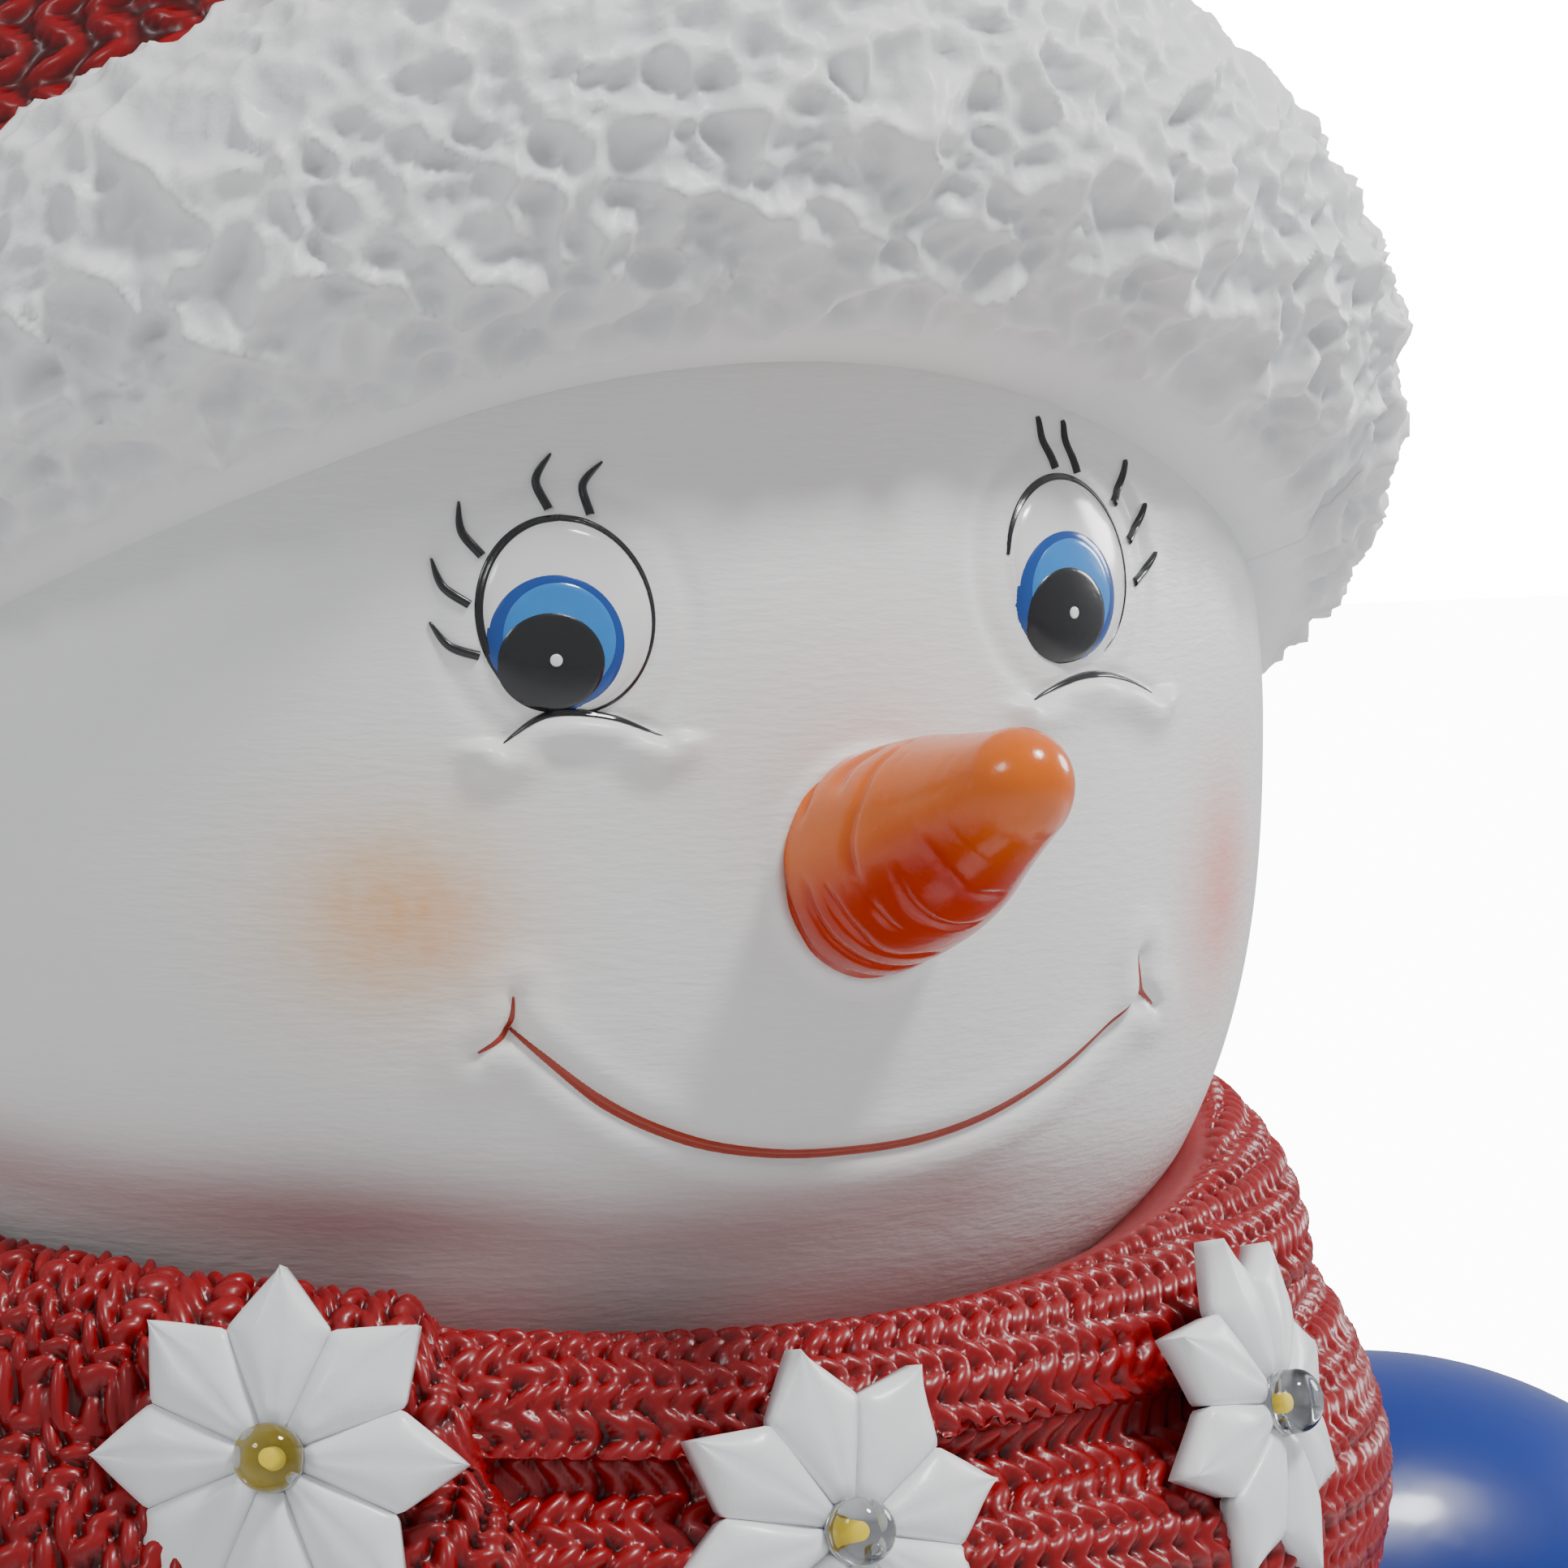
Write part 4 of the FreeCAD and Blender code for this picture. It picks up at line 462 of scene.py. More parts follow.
def lash_lines():
    """Three knots of each lash, from its tip to its root."""
    lines = []
    for index, count, root, root_step, lean, lean_step, gap, bend in LASH_FANS:
        x, z, wide, high = EYES[index]["white"]
        way = 1 if x > 0 else -1
        for k in range(count):
            at, tilt = math.radians(root + k * root_step), math.radians(lean + k * lean_step)
            foot = np.array([x + way * (wide + gap) * math.sin(at), z + (high + gap) * math.cos(at)])
            along = np.array([way * math.sin(tilt), math.cos(tilt)])
            out = np.array([way * math.cos(tilt), -math.sin(tilt)])
            lines.append([foot + along * LASH_LENGTH, foot + along * LASH_LENGTH / 2 + out * bend, foot])
    return lines


def mouth_creases():
    """A short hooked crease at each end of the smile; the one on the figure's left sits a little higher."""
    creases = []
    for way, (x, z), above in ((-1, SMILE[0], 0.0), (1, SMILE[-1], 2.0)):
        z += above
        creases.append([(x, z + 4.0), (x + way * 0.4, z), (x + way * 3.5, z - 2.6)])
    return creases


def head_width(height):
    """Half width of the head over its greatest, at a height above its middle; fuller below than above."""
    t = np.clip(np.abs(height) / HEAD_RZ, 0, 1)
    return np.sqrt(np.maximum(1 - np.where(height < 0, t**2.5, t**2), 0))


def to_line(x, z, knots):
    """Distance from each (x, z) to a line through knots."""
    best = np.full(x.shape, 1e9)
    pts = curve(knots, np.linspace(0, len(knots) - 1, 6 * len(knots)))
    for i in range(len(pts) - 1):
        (ax, az), (bx, bz) = pts[i], pts[i + 1]
        length2 = (bx - ax) ** 2 + (bz - az) ** 2 + 1e-9
        t = np.clip(((x - ax) * (bx - ax) + (z - az) * (bz - az)) / length2, 0, 1)
        d = np.hypot(x - ax - t * (bx - ax), z - az - t * (bz - az))
        best = np.minimum(best, d)
    return best


def face_relief(x, z):
    """How far the face stands out from the plain head, in mm."""
    flat = np.stack([x, 0 * x, z], -1)
    rise = 0.9 * (noise(flat, 34.0, 5) - 0.5)
    for eye in EYES:
        cx, cz, hw, hh = eye["white"]
        inside = np.clip(1 - ((x - cx) / hw) ** 2 - ((z - cz) / hh) ** 2, 0, 1)
        socket = ((x - cx) / (hw + 6)) ** 2 + ((z - cz) / (hh + 6)) ** 2
        rise += 1.5 * inside**0.55 - 0.5 * np.exp(-((np.sqrt(socket) - 0.92) ** 2) / 0.01)
    for lid in LIDS:
        d = to_line(x, z, lid)
        below = smooth(0.9, -0.9, z - np.interp(x, [p[0] for p in lid], [p[1] for p in lid]))
        rise += 1.7 * np.exp(-(((d - 2.2) / 2.6) ** 2)) * below - 0.5 * np.exp(-((d / 0.9) ** 2))
    d = to_line(x, z, SMILE)
    rise += -1.3 * np.exp(-((d / 0.95) ** 2)) + 0.5 * np.exp(-(((d - 3.0) / 2.2) ** 2))
    for end in mouth_creases():
        d = to_line(x, z, end)
        rise += -0.9 * np.exp(-((d / 0.8) ** 2)) + 0.6 * np.exp(-(((d - 3.0) / 2.4) ** 2))
    ring = np.hypot(x - NOSE_ROOT[0], z - NOSE_ROOT[1]) - NOSE_RADIUS
    rise += 0.9 * np.exp(-(((ring - 0.8) / 1.3) ** 2)) + 0.5 * np.exp(-((ring / 9.0) ** 2))
    return rise


def face_point(x, z, lift=0.0):
    """A point on the painted face at (x, height), lifted off it by lift mm."""
    x, z = np.asarray(x, float), np.asarray(z, float)

    def plain(x, z):
        y = -HEAD_RY * np.sqrt(np.maximum(head_width(z) ** 2 - (x / HEAD_RX) ** 2, 1e-4))
        return np.stack([x, y, z], -1)

    step = 0.5
    across = plain(x + step, z) - plain(x - step, z)
    up = plain(x, z + step) - plain(x, z - step)
    n = np.cross(across, up)
    n /= np.linalg.norm(n, axis=-1, keepdims=True)
    point = plain(x, z) + n * (face_relief(x, z) + lift)[..., None]
    return point + np.array([0, 0, HEAD_Z])


def head_piece(looks):
    rows = np.concatenate([
        np.linspace(-78, -52, 16)[:-1], np.linspace(-52, 43, 205), np.linspace(43, 102.9, 18)[1:],
    ])
    turn = np.radians(np.concatenate([
        np.linspace(-100, -33, 52)[:-1], np.linspace(-33, 42, 300), np.linspace(42, 110, 52)[1:],
        np.linspace(110, 260, 20)[1:-1],
    ]))
    z, a = np.meshgrid(rows, turn, indexing="ij")
    w = head_width(z)
    grid = np.stack([HEAD_RX * w * np.sin(a), -HEAD_RY * w * np.cos(a), z], -1)
    n = normals(grid, True)
    front = smooth(0.0, 0.25, np.cos(a))
    rise = face_relief(grid[..., 0], grid[..., 2]) * front
    rise += 0.9 * (noise(grid * [1, 0, 1], 34.0, 5) - 0.5) * (1 - front)
    tints = np.ones(grid.shape)
    x = grid[..., 0]

    def dust(cx, cz, wide, tall, colour, strength):
        amount = strength * np.exp(-(((x - cx) / wide) ** 2) - ((z - cz) / tall) ** 2) * front
        amount *= 0.85 + 0.3 * noise(grid, 1.4, 9)
        tints[:] = tints * (1 - amount[..., None]) + tints * np.array(colour) * amount[..., None]

    dust(-51, -14.0, 13, 12, (0.97, 0.62, 0.36), 0.95)
    dust(-45, -16.0, 8, 7, (1.0, 0.80, 0.72), 0.5)
    dust(71, -18, 9, 14, (0.98, 0.46, 0.40), 0.95)
    dust(NOSE_ROOT[0] - 3, NOSE_ROOT[1] + 10, 24, 13, (1.0, 0.90, 0.84), 0.5)
    chin = -65.5 + 17.5 * (1 - np.cos(a + math.radians(4)))
    band = np.exp(-(((z - chin - 12.0) / 6.8) ** 2)) * (0.5 + 0.5 * noise(grid, 22.0, 14))
    band = band * smooth(45, 12, np.degrees(a))
    tints *= 1 - np.clip(band, 0, 1)[..., None] * (1 - np.array([0.42, 0.22, 0.23]))
    mesh = grid_mesh("head", grid + n * rise[..., None] + [0, 0, HEAD_Z], True, True, True, tints)
    add_object("head", mesh, material("head"), ["head_casting"])


def stroke_part(knots, widths, lift=0.3, steps=40):
    """(verts, faces) of a rounded brush stroke on the face along knots."""
    at = np.linspace(0, len(knots) - 1, steps)
    line = curve(knots, at)
    width = np.interp(at / (len(knots) - 1), np.linspace(0, 1, len(widths)), widths)
    ahead = np.gradient(line, axis=0)
    ahead /= np.linalg.norm(ahead, axis=1, keepdims=True)
    side = np.stack([-ahead[:, 1], ahead[:, 0]], -1)
    across = np.linspace(-1, 1, 7)
    spots = line[:, None, :] + side[:, None, :] * (across[None, :, None] * width[:, None, None] / 2)
    height = lift * np.sqrt(np.maximum(1 - across**2, 0)) - 0.12
    rise = np.broadcast_to(height[None, :], spots.shape[:2]) * np.minimum(1, width / 0.5)[:, None]
    grid = face_point(spots[..., 0], spots[..., 1], rise)
    return grid.reshape(-1, 3), [f[::-1] for f in grid_faces(steps, 7, False)]


def disc_part(cx, cz, hw, hh, lift, crown=0.15, rings=12, columns=72):
    """(verts, faces) of a filled oval of paint on the face."""
    r = np.linspace(0.02, 1, rings)[:, None]
    t = np.linspace(0, 2 * math.pi, columns, endpoint=False)[None, :]
    height = np.where(r > 0.97, -0.25, lift + crown * (1 - r**2)) + 0 * t
    grid = face_point(cx + hw * r * np.cos(t), cz + hh * r * np.sin(t), height)
    faces = [f[::-1] for f in grid_faces(rings, columns, True)]
    faces.append(list(range(columns)))
    return grid.reshape(-1, 3), faces


def oval_line(cx, cz, hw, hh, start, stop, count=13):
    angles = np.radians(np.linspace(start, stop, count))
    return [(cx + hw * math.cos(a), cz + hh * math.sin(a)) for a in angles]


def face_paint(looks):
    whites = [disc_part(*eye["white"], 0.12) for eye in EYES]
    rims = [disc_part(*eye["iris"], 0.26) for eye in EYES]
    inner = []
    for eye in EYES:
        cx, cz, hw, hh = eye["iris"]
        inner.append(disc_part(cx + 0.2, cz + 0.3, hw * 0.84, hh * 0.84, 0.34))
    black = [disc_part(*eye["pupil"], 0.42, 0.25) for eye in EYES]
    left, right = EYES[0]["white"], EYES[1]["white"]
    black.append(stroke_part(oval_line(*left, 90, 450, 25), [1.0, 1.1, 1.0, 0.45, 0.5, 0.9, 1.0], 0.35, 110))
    black.append(stroke_part(oval_line(*right, 168, -62, 19), [0.4, 1.0, 1.1, 1.0, 0.9, 0.3], 0.35, 90))
    for lid in LIDS:
        black.append(stroke_part(lid, [0.15, 0.7, 1.0, 0.8, 0.2], 0.55))
    for lash in lash_lines():
        black.append(stroke_part(lash, [0.35, 0.9, 1.2, 1.2], 0.75, 18))
    dots = []
    for eye in EYES:
        dots.append(disc_part(eye["pupil"][0] + 0.3, eye["pupil"][1] + 0.1, 0.9, 0.9, 0.72, 0.1, 5, 24))
    mouth = [stroke_part(SMILE, [0.5, 1.5, 1.5, 1.35, 1.25, 1.2, 1.1, 0.9, 0.3], 0.4, 120)]
    for crease in mouth_creases():
        mouth.append(stroke_part(crease, [0.3, 1.0, 0.35], 0.35))
    for name, parts, look in (
        ("eye_whites", whites, "eye_white"),
        ("iris_rims", rims, "iris_rim"),
        ("irises", inner, "iris"),
        ("pupils_and_lashes", black, "black"),
        ("eye_glints", dots, "eye_white"),
        ("smile", mouth, "mouth"),
    ):
        add_object(name, joined(name, parts), material(look))


def nose_piece(looks):
    length, rows, columns = 42.0, 150, 160
    root = face_point(NOSE_ROOT[0], NOSE_ROOT[1]) - np.array([0, -0.4, 0])
    rise = math.radians(18)
    ahead = np.array([0.0, -math.cos(rise), math.sin(rise)])
    side = np.array([1.0, 0, 0])
    above = np.cross(side, ahead)
    above = above if above[2] > 0 else -above
    tip, inset = 6.5, 5.0  # length of the rounded tip, and how far the root runs back into the head
    dome = length - tip + tip * np.sin(np.linspace(0.05, 1.55, 30))
    s = np.concatenate([np.linspace(-inset, length - tip, rows - 30), dome])
    taper = [12.6, 12.9, 12.7, 12.0, 10.9, 9.5, 8.1, 6.8, 5.8]
    radius = curve(taper, np.clip((s + inset) / (length + inset) * 8, 0, 8))
    cap = np.clip((s - (length - tip)) / tip, 0, 1)
    radius = radius * np.sqrt(np.maximum(1 - cap**2, 0.0004))
    t = np.linspace(0, 2 * math.pi, columns, endpoint=False)
    share = s / length
    middle = root + s[:, None] * ahead + (1.8 * np.clip(share, 0, 1) ** 2)[:, None] * above
    S, T = np.meshgrid(s, t, indexing="ij")
    around = np.cos(T)[..., None] * side + np.sin(T)[..., None] * above
    grid = middle[:, None, :] + around * radius[:, None, None]
    coil = S / 5.2 + T / (2 * math.pi) * 2.0 + 0.9 * noise(grid, 8.0, 3)
    groove = np.exp(-((((coil % 1.0) - 0.5) / 0.16) ** 2))
    patch = smooth(0.40, 0.62, noise(grid, 7.0, 12)) * smooth(0.85, 0.25, S / length)
    sunk = 0.55 * groove * patch + 0.5 * (noise(grid, 7.0, 4) - 0.5)
    grid -= around * sunk[..., None] * (1 - cap)[:, None, None]
    under = smooth(0.2, -0.6, np.sin(T)) * smooth(1.05, 0.55, S / length)
    tints = np.ones(grid.shape)
    # darker red airbrushed paint on the underside, and painted shade in the spiral grooves
    underside_paint_and_groove_shade = 0.95 * under + 0.3 * groove * patch
    tints *= 1 - np.clip(underside_paint_and_groove_shade, 0, 0.95)[..., None] * (1 - np.array([0.60, 0.12, 0.30]))
    mesh = grid_mesh("carrot", grid, True, True, True, tints)
    add_object("carrot", mesh, material("carrot"), ["carrot_nose"])


# ---------------------------------------------------------------- hat
def trim_grid(places, turns):
    """Points of the hat's fur roll: one row for each place round its section, one column for each bearing."""
    a = turns[None, :]
    p = places[:, None]
    middle = np.stack(
        [99 * np.sin(a), 7.5 - 79.5 * np.cos(a), HEAD_Z + 35.6 + 29.5 * np.cos(a) + 11.9 * np.cos(2 * a)], -1
    )
    out = bearing(turns)[None, :, :]
    lean = math.radians(12)
    up = np.array([0, 0, 1.0]) * math.cos(lean) - out * math.sin(lean)
    wide = out * math.cos(lean) + np.array([0, 0, 1.0]) * math.sin(lean)
    return middle + wide * (25.0 * np.cos(p))[..., None] + up * (28.5 * np.sin(p))[..., None]


def fur_relief(points, deep=1.0, seed=20):
    """Knife-dabbed plaster: small sharp-edged scoops, some larger, and a few tiny bubbles."""
    warp = 4.6 * np.stack([noise(points, 7.0, seed + i) - 0.5 for i in range(3)], -1)
    small = np.sqrt(dabs(points * [1, 1, 1.3] + warp, 5.4, seed, 0.25) + 0.01)
    large = np.sqrt(dabs(points * [0.8, 0.8, 1.3] + 2 * warp, 9.5, seed + 7, 0.25) + 0.01)
    pick = smooth(0.56, 0.66, noise(points, 20.0, seed + 13))
    rise = (1 - pick) * 5.0 * (small**1.3 - 0.52) + pick * 6.0 * (large**1.3 - 0.52)
    rise = rise + 1.1 * (noise(points, 3.2, seed + 15) - 0.5) + 0.5 * (noise(points, 1.3, seed + 16) - 0.5)
    bubbles = dabs(points, 7.0, seed + 11, 0.0)
    return deep * rise + 0.5 * np.exp(-bubbles / 0.004)


def hat_trim(looks):
    """The roll is made as a fine front part and a plainer back part that share their end faces."""
    for name, start, stop, columns, rows, owners in (
        ("hat_fur_front", -105, 55, 620, 158, ["hat_trim_fur"]),
        ("hat_fur_back", 55, 255, 330, 130, []),
    ):
        turns = np.radians(np.linspace(start, stop, columns))
        p = np.concatenate([np.linspace(-115, 115, rows - 24, endpoint=False), np.linspace(115, 245, 24)])
        grid = trim_grid(np.radians(p), turns)
        n = normals(grid, False)
        p = np.radians(p)[:, None]
        bare = np.maximum(smooth(-0.3, -0.75, np.cos(p)), smooth(-0.88, -0.985, np.sin(p)))
        deep = (1 - bare) * (1.15 - 0.45 * smooth(0.1, 0.9, np.sin(p))) * looks.fur_depth
        rise = fur_relief(grid) * deep + 1.2 * (noise(grid, 30.0, 31) - 0.5)
        rise[-1] = rise[0]
        grid = grid + n * rise[..., None]
        # Painted shade: the fur is darker where its scoops sink lowest
        tints = 1 - 0.16 * (np.clip(0.45 - rise / 2.6, 0, 1) * deep)[..., None] * np.array([1.0, 0.95, 0.85])
        around = np.swapaxes(grid[:-1], 0, 1)
        mesh = grid_mesh(name, around, True, True, True, np.swapaxes(tints[:-1], 0, 1))
        weld(mesh)
        add_object(name, mesh, material("fur"), owners)


def weld(mesh):
    """Joins points that lie on each other and turns every face outward."""
    work = bmesh.new()
    work.from_mesh(mesh)
    bmesh.ops.remove_doubles(work, verts=work.verts, dist=1e-7)
    bmesh.ops.recalc_face_normals(work, faces=work.faces)
    work.to_mesh(mesh)
    work.free()


CROWN = [
    # centre x, y, height above the head's middle, half width, half depth, turn about X, turn about Y
    (0, 1, 27, 101, 87, -20, 0),
    (0, 4, 60, 99, 85.5, -12, -2),
    (-2, 9, 98, 88, 76.5, -6, -6),
    (-10, 15, 131, 66.5, 60.5, -2, -20),
    (-30, 20, 156, 45.5, 44.5, 0, -48),
    (-57, 24, 163, 33.3, 33.3, 0, -84),
    (-80, 27, 150, 26.3, 26.3, 0, -120),
    (-92, 28, 131, 20.2, 20.2, 0, -152),
]


def knit(s, t, pitch=3.7, row=3.9, seed=40, slant=0.68):
    """Height from 0 to 1 of moulded stitches: slanting grains in rows, each row slanting against the last."""
    line = np.floor(t / row)
    best = np.zeros(s.shape)
    for dj in (-1, 0, 1):
        j = line + dj
        way = np.where(j % 2 == 0, 1.0, -1.0)
        shift = 0.5 * hashed(j, j * 0, j * 0, seed)
        k = np.floor(s / pitch - shift)
        for dk in (-1, 0, 1, 2):
            c = k + dk
            wob = hashed(c, j, c * 0, seed + 1) - 0.5
            wob2 = hashed(c, j, c * 0, seed + 2) - 0.5
            x = s - (c + shift) * pitch - 0.7 * wob
            y = t - (j + 0.5) * row - 0.4 * wob2
            angle = way * (slant + 0.25 * wob2)
            along = x * np.cos(angle) + y * np.sin(angle)
            across = -x * np.sin(angle) + y * np.cos(angle)
            q = (along / (3.5 + 0.4 * wob)) ** 2 + (across / (1.5 + 0.25 * wob2)) ** 2
            best = np.maximum(best, np.sqrt(np.clip(1 - q**1.15, 0, 1)))
    return best


def knit_painted_shade(height):
    """Painted shade: darker between the stitches than on them."""
    shade = 0.30 + 0.70 * smooth(0.05, 0.6, height)
    return shade[..., None] * np.ones(3)


def hat_crown(looks):
    rows, columns = 250, 380
    at = np.linspace(0, len(CROWN) - 1, rows)
    knots = np.array(CROWN, float)
    centre = curve(knots[:, :3], at) + [0, 0, HEAD_Z]
    wide, deep = curve(knots[:, 3], at), curve(knots[:, 4], at)
    turn_x, turn_y = np.radians(curve(knots[:, 5], at)), np.radians(curve(knots[:, 6], at))
    t = uneven(columns, math.radians(-120), math.radians(180), 0.62)
    grid = np.zeros((rows, columns, 3))
    for i in range(rows):
        turn = Matrix.Rotation(turn_y[i], 3, "Y") @ Matrix.Rotation(turn_x[i], 3, "X")
        ring = np.stack([wide[i] * np.cos(t), deep[i] * np.sin(t), 0 * t], -1)
        grid[i] = centre[i] + ring @ np.array(turn).T
    n = normals(grid, True)
    step = np.linalg.norm(np.diff(grid, axis=0), axis=-1).mean(1)
    up = np.concatenate([[0], np.cumsum(step)])
    around = (t - t[0]) / (2 * math.pi)
    stitches, pitch, row = 78, 5.6, 5.0
    along = around[None, :] * stitches * pitch + 0 * up[:, None]
    height = knit(along, up[:, None] + 0 * t[None, :], pitch, row, 50)
    rise = 1.5 * height - 0.9 + 3.0 * (noise(grid, 45.0, 51) - 0.5)
    grid = grid + n * rise[..., None]
    # painted shade between the stitches goes into the colour
    mesh = grid_mesh("hat_knit", grid, True, False, True, knit_painted_shade(height))
    add_object("hat_knit", mesh, material("knit"), ["hat_crown"])


def fur_ball(looks):
    rows, columns = 110, 200
    end = np.array([-92.0, 28.0, HEAD_Z + 131])
    tip = math.radians(152)
    middle = end + np.array([-math.sin(tip), 0, math.cos(tip)]) * 23.2
    p = np.linspace(-math.pi / 2 + 0.02, math.pi / 2 - 0.02, rows)[:, None]
    t = np.linspace(0, 2 * math.pi, columns, endpoint=False)[None, :]
    way = np.stack([np.cos(p) * np.cos(t), np.cos(p) * np.sin(t), np.sin(p) + 0 * t], -1)
    grid = middle + way * 26.5
    rise = 1.1 * fur_relief(grid, 1.0, 70)
    # Painted shade: the fur is darker where its scoops sink lowest
    tints = 1 - 0.12 * np.clip(0.5 - rise / 3.0, 0, 1)[..., None] * np.array([1.0, 0.9, 0.8])
    mesh = grid_mesh("hat_ball", grid + way * rise[..., None], True, True, True, tints)
    add_object("hat_ball", mesh, material("fur"), ["hat_pompom"])


# ---------------------------------------------------------------- scarf
def scarf_profile(a):
    """Knots of the wound scarf's section at bearing a: radius across and height, bottom to top."""
    c = np.cos(a)
    notch, upper = 391 - 17 * c, 403.5 - 22.5 * c
    degrees = (np.degrees(a) + 180) % 360 - 180
    upper = upper - 6.0 * np.exp(-(((degrees + 68) / 30.0) ** 2))
    fold = 5.0 * np.exp(-(((np.degrees(a) + 17) / 7.0) ** 2))
    rows = [
        (104.0, 327.0),
        (110.5, 334.0),
        (115.5 - fold, 344.0),
        (118.0 - fold, 358.0 - 2 * c),
        (116.6 - 0.6 * fold, 371.0 - 7 * c),
        (111.5 - 0.2 * fold, notch - 5.0),
        (105.8, notch),
        (107.2, notch + 3.2),
        (107.3, upper - 3.0),
        (104.6, upper + 3.6),
        (99.0, upper + 8.8),
        (94.5, upper + 10.2),
        (90.5, upper + 9.2),
        (83.0, upper + 4.0),
        (66.0, upper - 10.0),
    ]
    return np.array([[r + 0 * c, z + 0 * c] for r, z in rows])


def scarf_surface(a, at):
    """Points of the scarf at bearings a (columns) and profile places at (rows), and the length up each one."""
    knots = scarf_profile(a)
    pos = np.clip(at, 0, len(knots) - 1)
    i = np.minimum(np.floor(pos).astype(int), len(knots) - 2)
    f = (pos - i)[:, None, None]
    p0, p1 = knots[np.maximum(i - 1, 0)], knots[i]
    p2, p3 = knots[i + 1], knots[np.minimum(i + 2, len(knots) - 1)]
    rz = 0.5 * (
        2 * p1 + (p2 - p0) * f + (2 * p0 - 5 * p1 + 4 * p2 - p3) * f**2 + (3 * p1 - p0 - 3 * p2 + p3) * f**3
    )
    r, z = rz[:, 0, :], rz[:, 1, :]
    grid = np.stack([r * np.sin(a)[None, :], -SQUASH * r * np.cos(a)[None, :], z], -1)
    step = np.linalg.norm(np.diff(grid, axis=0), axis=-1)
    up = np.concatenate([np.zeros((1, len(a))), np.cumsum(step, 0)], 0)
    return grid, up


def arc_length(a, radius=110.0):
    """Distance round the scarf at each bearing."""
    line = radius * np.stack([np.sin(a), -SQUASH * np.cos(a)], -1)
    step = np.linalg.norm(np.diff(line, axis=0), axis=-1)
    return np.concatenate([[0], np.cumsum(step)])


def scarf_wrap(looks):
    for name, start, stop, columns, rows, owns in (
        ("scarf_front", -100, 82, 640, 152, ["scarf_wrap"]),
        ("scarf_back", 82, 260, 600, 150, []),
    ):
        a = np.radians(np.linspace(start, stop, columns))
        grid, up = scarf_surface(a, np.linspace(0, 14, rows))
        n = normals(grid, False)
        s = arc_length(a)[None, :] + 0 * up
        wave = 1.4 * (noise(grid, 28.0, 61) - 0.5)
        gather = np.exp(-(((np.degrees(a)[None, :] + 24) / 14.0) ** 2))
        wave = wave + 9.0 * gather * (up / up[-1].mean() - 0.6) + 2.4 * gather * (noise(grid, 9.0, 64) - 0.5)
        height = knit(s + 0.6 * wave, up + wave, seed=62 + len(owns))
        place = np.linspace(0, 14, rows)[:, None]
        lip = smooth(10.6, 11.2, place)
        height = height * (1 - lip) + 0.55 * lip
        rise = looks.stitch_height * height - 1.3 + 2.0 * (noise(grid, 40.0, 63) - 0.5)
        grid = grid + n * rise[..., None]
        # painted shade between the stitches goes into the colour
        tints = knit_painted_shade(height)
        mesh = grid_mesh(name, grid, False, colours=tints)
        add_object(name, mesh, material("knit"), owns)


# ---------------------------------------------------------------- body
BODY = [
    # height, half width: snowball, then coat
    (110.0, 160.0), (140.0, 161.0), (176.0, 159.5), (215.0, 153.0), (255.2, 141.5), (285.0, 131.5),
    (303.6, 125.0), (318.0, 118.5), (327.0, 113.5), (330.0, 108.0),
]


def body_radius(z):
    return np.interp(z, [b[0] for b in BODY], [b[1] for b in BODY])


def coat_surface(a, z, grow=0.0):
    r = body_radius(z)
    return np.stack([(r + grow) * np.sin(a), -(SQUASH * r + grow) * np.cos(a), z], -1)


# ---------------------------------------------------------------- copies
def copies_group():
    """Geometry nodes: one piece at every point, turned and sized by the points' own attributes."""
    group = bpy.data.node_groups.new("snowman_copies", "GeometryNodeTree")
    sockets = {}
    for name, kind in (("Geometry", "NodeSocketGeometry"), ("Piece", "NodeSocketObject"),
                       ("Material", "NodeSocketMaterial")):
        sockets[name] = group.interface.new_socket(name, in_out="INPUT", socket_type=kind).identifier
    group.interface.new_socket("Geometry", in_out="OUTPUT", socket_type="NodeSocketGeometry")
    new, link = group.nodes.new, group.links.new
    come, leave = new("NodeGroupInput"), new("NodeGroupOutput")
    info = new("GeometryNodeObjectInfo")
    turn, size = new("GeometryNodeInputNamedAttribute"), new("GeometryNodeInputNamedAttribute")
    turn.data_type, size.data_type = "FLOAT_VECTOR", "FLOAT"
    turn.inputs["Name"].default_value, size.inputs["Name"].default_value = "turn", "size"
    place = new("GeometryNodeInstanceOnPoints")
    real, paint = new("GeometryNodeRealizeInstances"), new("GeometryNodeSetMaterial")
    link(come.outputs["Piece"], info.inputs["Object"])
    link(come.outputs["Geometry"], place.inputs["Points"])
    link(info.outputs["Geometry"], place.inputs["Instance"])
    link(turn.outputs[0], place.inputs["Rotation"])
    link(size.outputs[0], place.inputs["Scale"])
    link(place.outputs[0], real.inputs[0])
    link(real.outputs[0], paint.inputs["Geometry"])
    link(come.outputs["Material"], paint.inputs["Material"])
    link(paint.outputs[0], leave.inputs[0])
    return group, sockets


